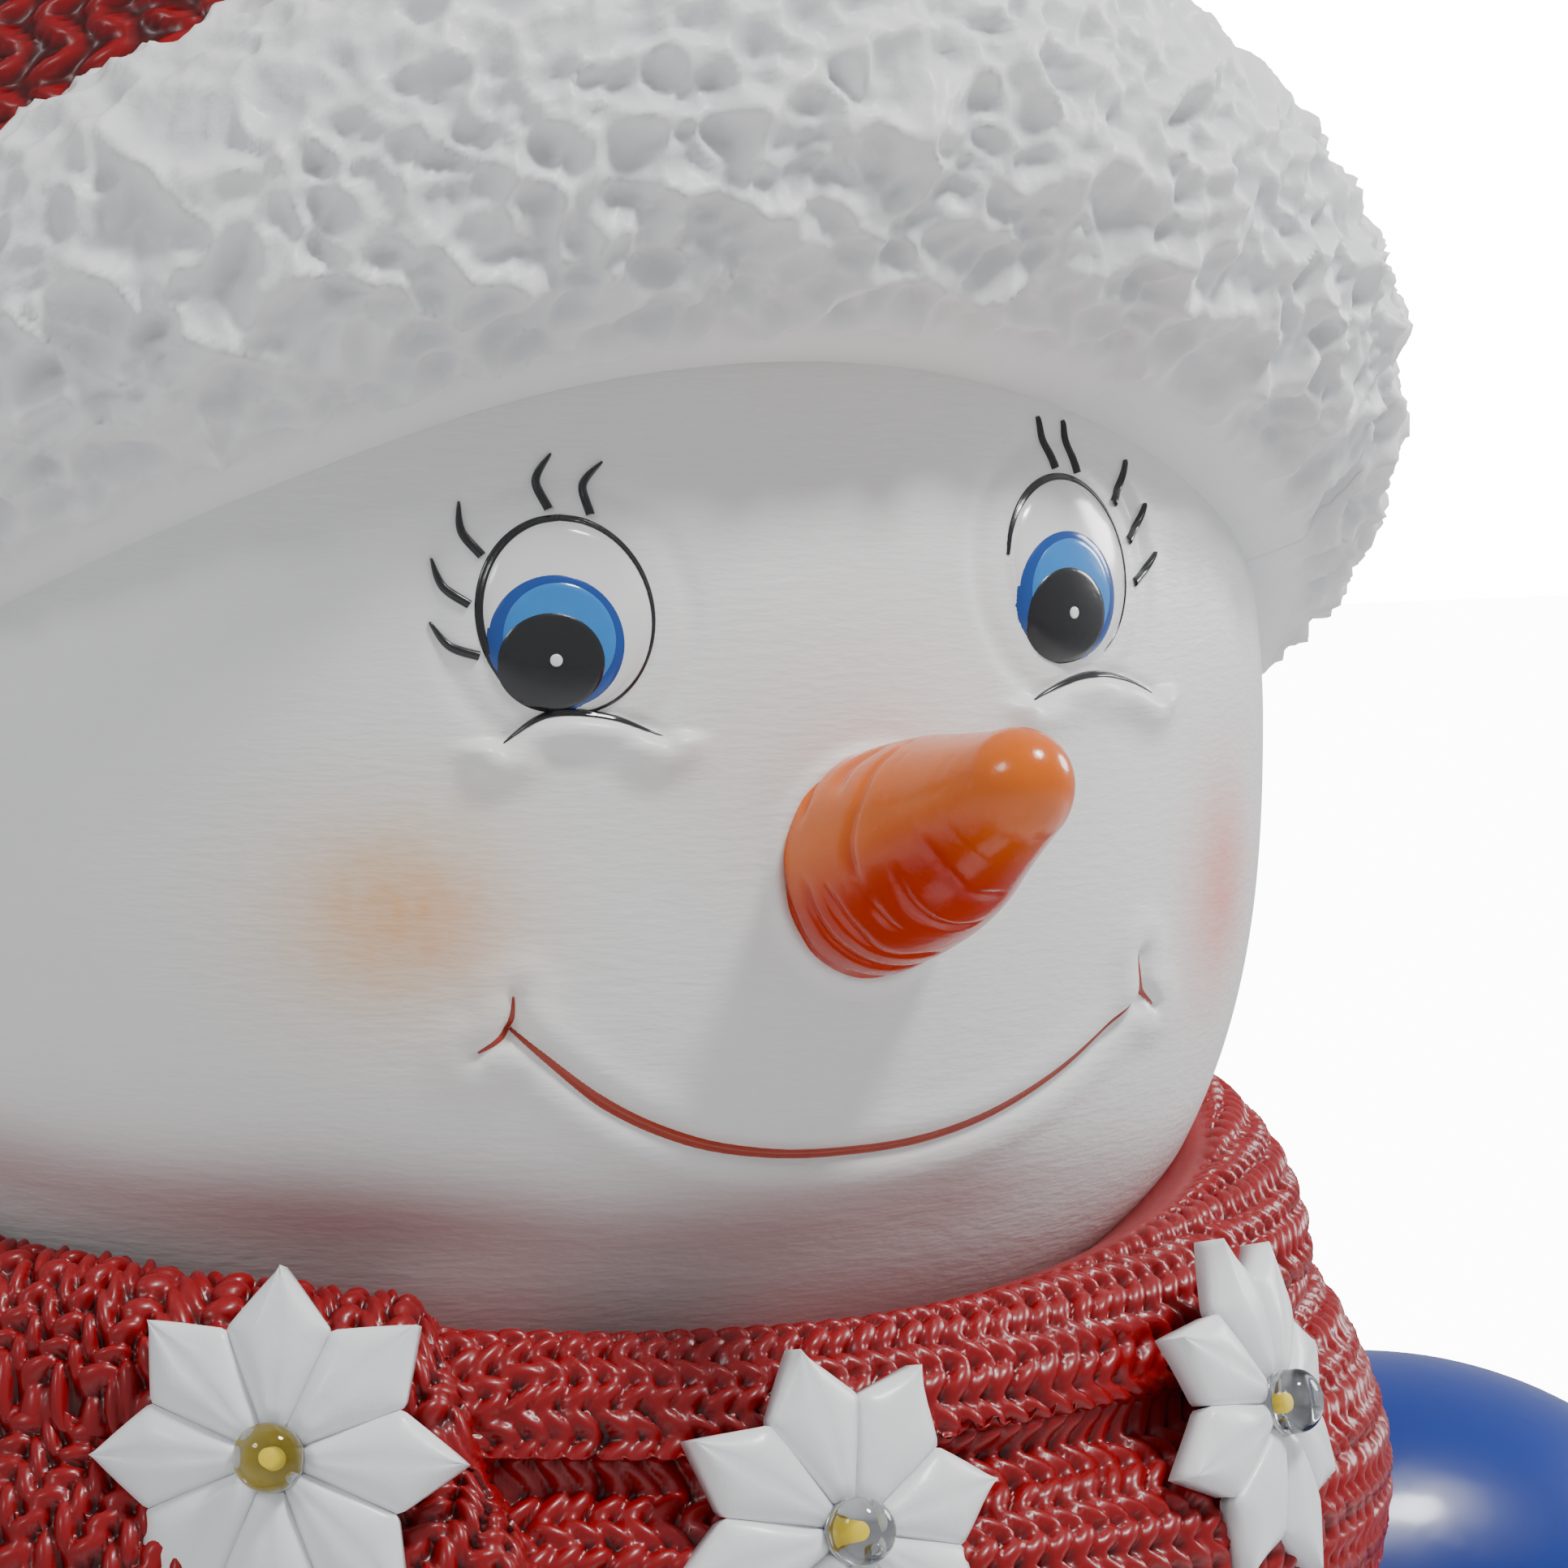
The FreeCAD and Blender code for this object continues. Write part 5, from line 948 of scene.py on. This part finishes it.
def copies(name, piece, points, turns, sizes, coat):
    """A plain mesh of piece (a mesh) at every point in mm, turned by XYZ angles in radians."""
    group, sockets = copies_group()
    cloud = bpy.data.meshes.new(name + "_points")
    cloud.from_pydata((np.asarray(points, float) * MM).tolist(), [], [])
    turned = cloud.attributes.new("turn", "FLOAT_VECTOR", "POINT")
    turned.data.foreach_set("vector", np.ravel(turns).astype(float))
    cloud.attributes.new("size", "FLOAT", "POINT").data.foreach_set("value", np.asarray(sizes, float))
    source = bpy.data.objects.new(name + "_piece", piece)
    holder = bpy.data.objects.new(name + "_holder", cloud)
    for obj in (source, holder):
        bpy.context.scene.collection.objects.link(obj)
    modifier = holder.modifiers.new("copies", "NODES")
    modifier.node_group = group
    modifier[sockets["Piece"]] = source
    modifier[sockets["Material"]] = coat
    bpy.context.view_layer.update()
    graph = bpy.context.evaluated_depsgraph_get()
    mesh = bpy.data.meshes.new_from_object(holder.evaluated_get(graph), depsgraph=graph)
    mesh.name = name
    holder.modifiers.remove(modifier)
    for obj in (holder, source):
        bpy.data.objects.remove(obj)
    return mesh


def node_points(name):
    """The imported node's points in mm."""
    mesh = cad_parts[name].data
    verts = np.empty(len(mesh.vertices) * 3)
    mesh.vertices.foreach_get("co", verts)
    return verts.reshape(-1, 3) / MM


LIFT = {1: 4.2, 2: 2.4, 3: 3.8, 4: 5.0, 5: 5.0}  # how far each stands off its packed place, in mm
FACING = {1: (-38, 12), 2: (-2, 10), 3: (34, 12), 4: (-39, 12), 5: (-39, 5)}  # bearing and rise in degrees


def station(index):
    """Middle of a packed snowflake's back, and the way it faces."""
    outward = np.array(direction(*FACING[index]))
    lamp = node_points("lamp_%d" % index)
    middle = (lamp.max(0) + lamp.min(0)) / 2
    reach = (node_points("snowflake_%d" % index) - middle) @ outward
    return middle + outward * (reach.min() + LIFT[index]), outward


# ---------------------------------------------------------------- snowflakes
PETAL_TIP, PETAL_WIDE, PETALS = 21.8, 14.6, 8  # reach of the tip and of the widest place, and how many
PETAL_FILL = 0.985  # share of its eighth of a turn that a petal fills
FLAKE_ROLL = {1: 0, 2: 12, 3: 14, 4: -8, 5: 10}


def petal_mesh():
    """One kite petal pointing along +Y: ridged down its middle, lower at its sides."""
    rows, columns = 30, 13
    r = np.linspace(2.2, PETAL_TIP, rows)[:, None]
    v = np.linspace(-1, 1, columns)[None, :]
    half = math.pi / PETALS
    taper = np.clip((PETAL_TIP - r) / (PETAL_TIP - PETAL_WIDE), 0, 1) ** 0.95
    widest = PETAL_WIDE * math.tan(half) * PETAL_FILL
    wide = np.where(r < PETAL_WIDE, r * math.tan(half) * PETAL_FILL, widest * taper) + 0.05
    x = wide * v
    side = np.abs(v) ** 2.6
    crease = 0.28 * np.exp(-((v / 0.16) ** 2)) * smooth(3.0, 9.0, r)
    top = 3.7 - 1.5 * side - crease + 0.5 * smooth(4.0, 12.0, r)
    top = top - 1.0 * smooth(5.5, 3.0, r) * (1 - side)
    front = np.stack([x, r + 0 * v, top + 0 * x], -1)
    back = np.stack([x * 0.96, r + 0 * v, 0.2 + 0 * x], -1)[:, ::-1]
    verts, faces = closed_part(np.concatenate([front, back], 1)[:, ::-1])
    return make_mesh("petal", verts, faces)


def flake_pieces(looks):
    petal = petal_mesh()
    turns = [(0, 0, 2 * math.pi * k / PETALS) for k in range(PETALS)]
    sizes = 1 + 0.03 * (hashed(np.arange(PETALS), np.arange(PETALS), np.arange(PETALS), 90) - 0.5)
    for index in range(1, 6):
        seat, outward = station(index)
        mesh = copies("flake_%d" % index, petal, np.zeros((PETALS, 3)), turns, sizes, material("flake"))
        flat = np.empty(len(mesh.vertices) * 3)
        mesh.vertices.foreach_get("co", flat)
        local = flat.reshape(-1, 3) / MM
        reach = np.hypot(local[:, 0], local[:, 1])
        local[:, 2] += -0.008 * reach**2 * (0.6 + 0.6 * np.abs(local[:, 0]) / (reach + 1)) + 1.3
        local[:, 2] += 0.35 * (noise(local, 6.0, 91 + index) - 0.5)
        roll = math.radians(FLAKE_ROLL[index])
        c, s = math.cos(roll), math.sin(roll)
        spin = np.array([[c, s, 0], [-s, c, 0], [0, 0, 1]])
        world = placed(local @ spin, seat, outward)
        mesh.vertices.foreach_set("co", (world * MM).reshape(-1))
        shade = np.ones((len(local), 4))
        # Painted shade: the low parts of the petals, down in the grooves between them, are darker
        low = smooth(3.2, 1.9, local[:, 2] + 0.008 * reach**2)
        shade[:, :3] = 1 - 0.28 * low[:, None] * np.array([1, 0.95, 0.9])
        mesh.attributes.new("tint", "FLOAT_COLOR", "POINT").data.foreach_set("color", shade.reshape(-1))
        mesh.polygons.foreach_set("use_smooth", [True] * len(mesh.polygons))
        mesh.update()
        add_object("flake_%d" % index, mesh, material("flake"), ["snowflake_%d" % index])
        lamp_piece(index, seat, outward)


def lamp_piece(index, seat, outward):
    """A clear lamp: domed glass, a lead frame cup and the yellow chip in it."""
    dome = [(3.95 * math.cos(t), 6.3 + 3.1 * math.sin(t)) for t in np.radians(np.linspace(0, 88, 16))]
    shell = lathe_grid([(3.9, 2.2), (4.35, 2.3), (4.4, 3.4), (4.0, 3.7)] + dome)
    verts, faces = closed_part(shell)
    glass = make_mesh("lamp_glass", placed(verts, seat, outward), faces)
    add_object("lamp_%d_glass" % index, glass, material("lamp"), ["lamp_%d" % index])
    cup = closed_part(lathe_grid([(3.6, 2.5), (3.8, 2.7), (3.8, 4.6), (3.6, 4.6), (1.6, 3.2)], 40))
    post = closed_part(lathe_grid([(0.45, 2.8), (0.45, 4.4), (0.4, 4.5)], 16))
    parts = [(placed(cup[0], seat, outward), cup[1])]
    parts.append((placed(post[0] + [1.6, -1.4, 0], seat, outward), post[1]))
    add_object("lamp_%d_frame" % index, joined("lamp_frame", parts), material("lead_frame"))
    chip = closed_part(lathe_grid([(0.85, 3.4), (0.85, 5.2), (0.75, 5.4), (0.2, 5.45)], 32))
    chip_mesh = make_mesh("lamp_chip", placed(chip[0], seat, outward), chip[1])
    add_object("lamp_%d_chip" % index, chip_mesh, material("phosphor"))


# ---------------------------------------------------------------- scarf ends
# rows averaged either way, which carries the end straight over the hollow between the two turns
NOTCH_ROWS = 17


def scarf_overlap(looks):
    """The scarf's end, folded over the wound part: its stitches run down instead of round."""
    rows, columns = 150, 330
    at = np.linspace(0.3, 11.6, rows)
    share = np.linspace(0, 1, columns)
    grid = np.zeros((rows, columns, 3))
    span = np.radians(np.linspace(-98, -8, 400))
    wound, up_all = scarf_surface(span, at)
    edge = np.radians(np.interp(wound[:, 200, 2], [335, 362, 395, 410], [-16.0, -17.0, -27.0, -29.0]))
    wave = 1.2 * (noise(wound[:, 200], 11.0, 95) - 0.5)
    edge = edge + np.radians(wave)
    a = np.radians(-95) + (edge[:, None] - np.radians(-95)) * share[None, :]
    for i in range(rows):
        for k in range(3):
            grid[i, :, k] = np.interp(a[i], span, wound[i, :, k])
    padded = np.concatenate([grid[:1]] * NOTCH_ROWS + [grid] + [grid[-1:]] * NOTCH_ROWS)
    grid = sum(padded[k : k + rows] for k in range(2 * NOTCH_ROWS + 1)) / (2 * NOTCH_ROWS + 1)
    n = normals(grid, False)
    s = 110.0 * a
    up = np.interp(at, np.linspace(0.3, 11.6, rows), up_all.mean(1))[:, None] + 0 * s
    right = np.clip((1 - share) * 75.0 / 6.0, 0, 1)[None, :]
    body = np.sqrt(np.clip(1 - (1 - right) ** 2, 0, 1)) * smooth(0.0, 0.30, share)[None, :]
    proud = 7.5 * body - 11.0 * (1 - right) ** 2.5
    proud = proud * (1 - 0.45 * smooth(9.0, 11.6, at)[:, None])
    twist = 5.0 * (noise(grid, 17.0, 96) - 0.5)
    height = knit(up + twist + 0.55 * s, s - 0.25 * up + 1.6 * twist, 4.0, 4.1, 97, 0.6)
    mess = noise(grid, 13.0, 98)
    height = height * (0.75 + 0.5 * mess)
    rise = proud + 2.0 * height - 1.4 + 3.0 * (mess - 0.5)
    grid = grid + n * rise[..., None]
    # painted shade between the stitches goes into the colour
    mesh = grid_mesh("scarf_overlap", grid, False, colours=knit_painted_shade(height))
    add_object("scarf_overlap", mesh, material("knit"), ["scarf_overlap"])


TAIL_BEARING, TAIL_WIDTH, TAIL_THICK = math.radians(-41), 60.0, 11.0
TAIL_LOW, TAIL_HIGH = 172.0, 334.0
TAIL_LEVEL = 0.93  # mean reach of the body's oval at the tail, over its half width


def tail_piece(looks):
    rows, columns = 170, 84
    z = np.linspace(TAIL_LOW, TAIL_HIGH, rows)[:, None]
    u = np.linspace(-1, 1, columns)[None, :]
    bulge = np.sqrt(np.clip(1 - np.abs(u) ** 5, 0, 1))
    a = TAIL_BEARING + u * TAIL_WIDTH / 2 / (body_radius(z) * TAIL_LEVEL)
    outer = coat_surface(a, z + 0 * u, 0.6)
    height = knit(z + 0 * u, u * TAIL_WIDTH / 2 + 0 * z, 4.6, 4.0, 110)
    depth = (TAIL_THICK - 2.0) * bulge + 1.7 * height * bulge
    front = outer + bearing(a + 0 * z) * depth[..., None]
    back = coat_surface(a, z + 0 * u, 0.3)[:, ::-1]
    # Painted shade: darker between the stitches, and the back face against the coat darker still
    shade = np.concatenate([knit_painted_shade(height), np.full((rows, columns, 3), 0.6)], 1)
    grid = np.concatenate([front, back], 1)
    mesh = grid_mesh("scarf_tail", grid, True, True, True, shade)
    weld(mesh)
    add_object("scarf_tail", mesh, material("knit"), ["scarf_tail"])


def fringe_piece(looks):
    rows = np.linspace(0, 1, 26)
    turn = np.linspace(0, 2 * math.pi, 40, endpoint=False)
    radius = np.interp(rows, [0, 0.12, 0.3, 0.36, 0.8, 1], [2.6, 3.5, 3.0, 3.1, 3.5, 2.9])
    strand = 1 + 0.14 * np.cos(6 * turn[None, :] + 5 * rows[:, None])
    ring = np.stack([np.cos(turn), np.sin(turn), 0 * turn], -1)
    grid = ring[None] * (radius[:, None] * strand)[..., None]
    grid[..., 2] = 25.0 * (rows[:, None] - 1)
    verts, faces = closed_part(grid[::-1])
    piece = make_mesh("tassel", verts, [f[::-1] for f in faces])
    spots, turns = [], []
    for k in range(7):
        a = TAIL_BEARING + (k - 3) * 8.2 / (body_radius(160.0) * TAIL_LEVEL)
        spot = coat_surface(np.array(a), np.array(TAIL_LOW + 1.0), 5.6)
        spots.append(spot)
        turns.append((0.05 * (k % 3 - 1), 0.04 * (k % 2), 0.7 * k))
    mesh = copies("scarf_fringe", piece, spots, turns, [1.0] * 7, material("mitten"))
    mesh.polygons.foreach_set("use_smooth", [True] * len(mesh.polygons))
    weld(mesh)
    add_object("scarf_fringe", mesh, material("mitten"), ["scarf_fringe"])


# ---------------------------------------------------------------- fur bands
def fur_band(name, ring, outward, up, wide, tall, slot_owner, seed, rows=70, deep=0.85):
    """A closed roll of fur: ring holds its middle, outward and up are unit vectors at each place."""
    p = np.linspace(0, 2 * math.pi, rows, endpoint=False)[:, None, None]
    grid = ring[None] + outward[None] * wide * np.cos(p) + up[None] * tall * np.sin(p)
    n = outward[None] * np.cos(p) / wide + up[None] * np.sin(p) / tall
    n = n / np.linalg.norm(n, axis=-1, keepdims=True)
    rise = deep * fur_relief(grid, 1.0, seed) * smooth(-0.5, 0.1, np.cos(p[..., 0]))
    grid = grid + n * rise[..., None]
    # Painted shade: the fur is darker where its scoops sink lowest
    tints = 1 - 0.12 * np.clip(0.5 - rise / 3.0, 0, 1)[..., None] * np.array([1.0, 0.9, 0.8])
    grid, tints = np.concatenate([grid, grid[:1]], 0), np.concatenate([tints, tints[:1]], 0)
    mesh = grid_mesh(name, grid, True, colours=tints)
    weld(mesh)
    add_object(name, mesh, material("fur"), [slot_owner])


def hem_piece(looks):
    t = np.linspace(0, 2 * math.pi, 560, endpoint=False)
    middle = np.stack([157 * np.sin(t), -(157 - 23) * np.cos(t), np.full(t.shape, 124.0)], -1)
    up = np.broadcast_to([0, 0, 1.0], middle.shape)
    fur_band("coat_hem", middle, bearing(t), up, 15.5, 19.5, "coat_hem_fur", 120, 96)


def cuff_pieces(looks):
    for side, sign in (("left", 1), ("right", -1)):
        heading = np.array([sign * 1.0, -18.0, -15.0])
        heading /= np.linalg.norm(heading)
        middle = np.array([sign * 166.0, -68.0, 237.0]) + heading * 12.0
        x = np.array([1.0, 0, 0])
        y = np.cross(heading, x)
        x = np.cross(y, heading)
        t = np.linspace(0, 2 * math.pi, 240, endpoint=False)[:, None]
        outward = x * np.cos(t) + y * np.sin(t)
        outward = outward / np.linalg.norm(outward, axis=-1, keepdims=True)
        up = np.broadcast_to(heading, outward.shape)
        ring = middle + outward * 21.5
        fur_band(side + "_cuff", ring, outward, up, 10.5, 11.8, side + "_cuff_fur", 130, 70, 0.8)


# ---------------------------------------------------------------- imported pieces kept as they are
KEPT = (
    # look, slot, then the pieces that take the look
    ("snow", "snow", "base_casting lower_snowball_casting"),
    ("plate", "plate", "base_plate"),
    ("steel", "steel", "base_plate_screws"),
    ("rubber", "foot_rubber", "rubber_feet"),
    ("coat", "coat_blue", "coat_casting left_sleeve right_sleeve"),
    ("mitten", "mitten_red", "left_mitten right_mitten"),
    ("button", "button", "coat_buttons"),
    ("case", "case_plastic", "battery_case battery_door"),
    ("steel", "steel", "hinge_pin"),
    ("switch", "switch_black", "switch_slider switch_body"),
    ("board", "board", "timer_board"),
    ("cell", "cell", "battery_cells"),
    ("steel", "steel", "contact_springs contact_plates case_screws"),
    ("wire", "wire", "battery_lead lamp_wires"),
    ("wire", "shrink", "lamp_shrink_sleeves wire_joint_sleeve"),
)


def kept_pieces(looks):
    for look, slot, name in ((look, slot, name) for look, slot, names in KEPT for name in names.split()):
        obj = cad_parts[name]
        mesh = obj.data
        mesh.materials.clear()
        mesh.materials.append(material(look))
        mesh.shade_smooth()
        mesh.set_sharp_from_angle(angle=math.radians(38))
        tint = mesh.attributes.new("tint", "FLOAT_COLOR", "POINT")
        tint.data.foreach_set("color", np.ones(len(mesh.vertices) * 4))


# ---------------------------------------------------------------- light, floor and camera
def pale_floor(looks):
    """A pale floor that the camera sees nearly as white as the backdrop."""
    size = 6.0
    mesh = bpy.data.meshes.new("floor")
    square = [(-size, -size, 0), (size, -size, 0), (size, size, 0), (-size, size, 0)]
    mesh.from_pydata(square, [], [(0, 1, 2, 3)])
    shader = Shader("stage_floor")
    cloud = shader.noise(2.0)
    shader.set(Base_Color=shader.mix(cloud, (0.84, 0.84, 0.84, 1), (0.82, 0.82, 0.82, 1)), Roughness=0.9)
    glow = shader.node("ShaderNodeEmission", {"Color": (1, 1, 1, 1), "Strength": looks.backdrop})
    ray = Socket(shader, shader.node("ShaderNodeLightPath").outputs["Is Camera Ray"])
    mixed = shader.new("ShaderNodeMixShader")
    shader.connect(ray * 0.8, mixed.inputs[0])
    shader.connect(shader.principled.outputs[0], mixed.inputs[1])
    shader.connect(glow.outputs[0], mixed.inputs[2])
    shader.connect(mixed.outputs[0], shader.tree.nodes["Material Output"].inputs["Surface"])
    add_object("floor", mesh, shader.material, body=None)


def world_light(looks):
    """White to the camera, and a much weaker sky to the figure."""
    world = bpy.data.worlds.new("world")
    bpy.context.scene.world = world
    world.use_nodes = True
    tree = world.node_tree
    seen, glow = tree.nodes["Background"], tree.nodes.new("ShaderNodeBackground")
    seen.inputs[0].default_value, seen.inputs[1].default_value = (1, 1, 1, 1), looks.backdrop
    glow.inputs[0].default_value, glow.inputs[1].default_value = (0.95, 0.97, 1.0, 1), looks.sky
    ray, mix = tree.nodes.new("ShaderNodeLightPath"), tree.nodes.new("ShaderNodeMixShader")
    tree.links.new(ray.outputs["Is Camera Ray"], mix.inputs[0])
    tree.links.new(glow.outputs[0], mix.inputs[1])
    tree.links.new(seen.outputs[0], mix.inputs[2])
    tree.links.new(mix.outputs[0], tree.nodes["World Output"].inputs["Surface"])


def direction(azimuth, elevation):
    a, e = math.radians(azimuth), math.radians(elevation)
    return Vector((math.sin(a) * math.cos(e), -math.cos(a) * math.cos(e), math.sin(e)))


def studio_lamps(looks):
    for name, azimuth, elevation, distance, size, power in (
        ("key", 34, 58, 1.6, 0.30, 1.0),
        ("fill", -75, 35, 1.7, 0.4, 0.22),
        ("rim", 92, 18, 1.5, 0.5, 0.40),
        ("back", 178, 35, 1.8, 1.2, 0.5),
    ):
        lamp = bpy.data.lights.new(name, "AREA")
        lamp.shape, lamp.size, lamp.energy = "DISK", size, power * looks.key_power
        holder = bpy.data.objects.new(name, lamp)
        bpy.context.scene.collection.objects.link(holder)
        way = direction(azimuth, elevation)
        holder.location = Vector((0, 0, 0.42)) + way * distance
        holder.rotation_euler = (-way).to_track_quat("-Z", "Y").to_euler()


def camera_view(looks):
    camera = bpy.data.cameras.new("camera")
    camera.lens, camera.sensor_width = looks.lens, 36.0
    camera.clip_start, camera.clip_end = 0.05, 50.0
    holder = bpy.data.objects.new("camera", camera)
    bpy.context.scene.collection.objects.link(holder)
    back = direction(-30, 5)
    right = Vector((math.cos(math.radians(30)), -math.sin(math.radians(30)), 0))
    above = back.cross(right)
    aim = Vector((0, 0, HEAD_Z * MM)) + right * 0.0373 - above * 0.0067
    holder.location = aim + back * 1.0
    holder.rotation_euler = (-back).to_track_quat("-Z", "Y").to_euler()
    bpy.context.scene.camera = holder


# ---------------------------------------------------------------- add-on
class SnowmanLooks(bpy.types.PropertyGroup):
    """What can be set before the pieces are built."""

    fur_depth: bpy.props.FloatProperty(name="Fur depth", default=1.0, min=0.0, max=2.0)
    stitch_height: bpy.props.FloatProperty(name="Stitch height", default=2.1, min=0.0, max=3.0)
    key_power: bpy.props.FloatProperty(name="Key light", default=24.0, min=0.0)
    sky: bpy.props.FloatProperty(name="Sky", default=0.50, min=0.0)
    backdrop: bpy.props.FloatProperty(name="Backdrop", default=16.0, min=0.0)
    lens: bpy.props.FloatProperty(name="Lens", default=182.0, min=20.0)


class BuildStep:
    """One group of pieces, built from the scene's settings."""

    bl_options = {"REGISTER", "UNDO"}
    builders = ()

    def execute(self, context):
        for builder in self.builders:
            builder(context.scene.snowman)
        return {"FINISHED"}


class SNOWMAN_OT_head(BuildStep, bpy.types.Operator):
    bl_idname, bl_label = "snowman.head", "Head"
    builders = (head_piece, face_paint, nose_piece)


class SNOWMAN_OT_hat(BuildStep, bpy.types.Operator):
    bl_idname, bl_label = "snowman.hat", "Hat"
    builders = (hat_trim, hat_crown, fur_ball)


class SNOWMAN_OT_scarf(BuildStep, bpy.types.Operator):
    bl_idname, bl_label = "snowman.scarf", "Scarf"
    builders = (scarf_wrap, scarf_overlap, tail_piece, fringe_piece)


class SNOWMAN_OT_flakes(BuildStep, bpy.types.Operator):
    bl_idname, bl_label = "snowman.flakes", "Snowflakes and lamps"
    builders = (flake_pieces,)


class SNOWMAN_OT_fur(BuildStep, bpy.types.Operator):
    bl_idname, bl_label = "snowman.fur", "Coat hem and cuffs"
    builders = (hem_piece, cuff_pieces)


class SNOWMAN_OT_kept(BuildStep, bpy.types.Operator):
    bl_idname, bl_label = "snowman.kept", "Body, arms and battery case"
    builders = (kept_pieces,)


class SNOWMAN_OT_stage(BuildStep, bpy.types.Operator):
    bl_idname, bl_label = "snowman.stage", "Floor, light and camera"
    builders = (pale_floor, world_light, studio_lamps, camera_view)


STEPS = (
    SNOWMAN_OT_head, SNOWMAN_OT_hat, SNOWMAN_OT_scarf, SNOWMAN_OT_flakes, SNOWMAN_OT_fur, SNOWMAN_OT_kept,
    SNOWMAN_OT_stage,
)


class SNOWMAN_PT_panel(bpy.types.Panel):
    bl_idname, bl_label = "SNOWMAN_PT_panel", "Snowman"
    bl_space_type, bl_region_type, bl_category = "VIEW_3D", "UI", "Snowman"

    def draw(self, context):
        for name in SnowmanLooks.__annotations__:
            self.layout.prop(context.scene.snowman, name)
        for step in STEPS:
            self.layout.operator(step.bl_idname)


CLASSES = (SnowmanLooks, *STEPS, SNOWMAN_PT_panel)


def register():
    for item in CLASSES:
        bpy.utils.register_class(item)
    bpy.types.Scene.snowman = bpy.props.PointerProperty(type=SnowmanLooks)


def unregister():
    del bpy.types.Scene.snowman
    for item in reversed(CLASSES):
        bpy.utils.unregister_class(item)


def main():
    register()
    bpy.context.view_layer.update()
    for step in STEPS:
        group, name = step.bl_idname.split(".")
        getattr(getattr(bpy.ops, group), name)()


if __name__ == "__main__":
    main()
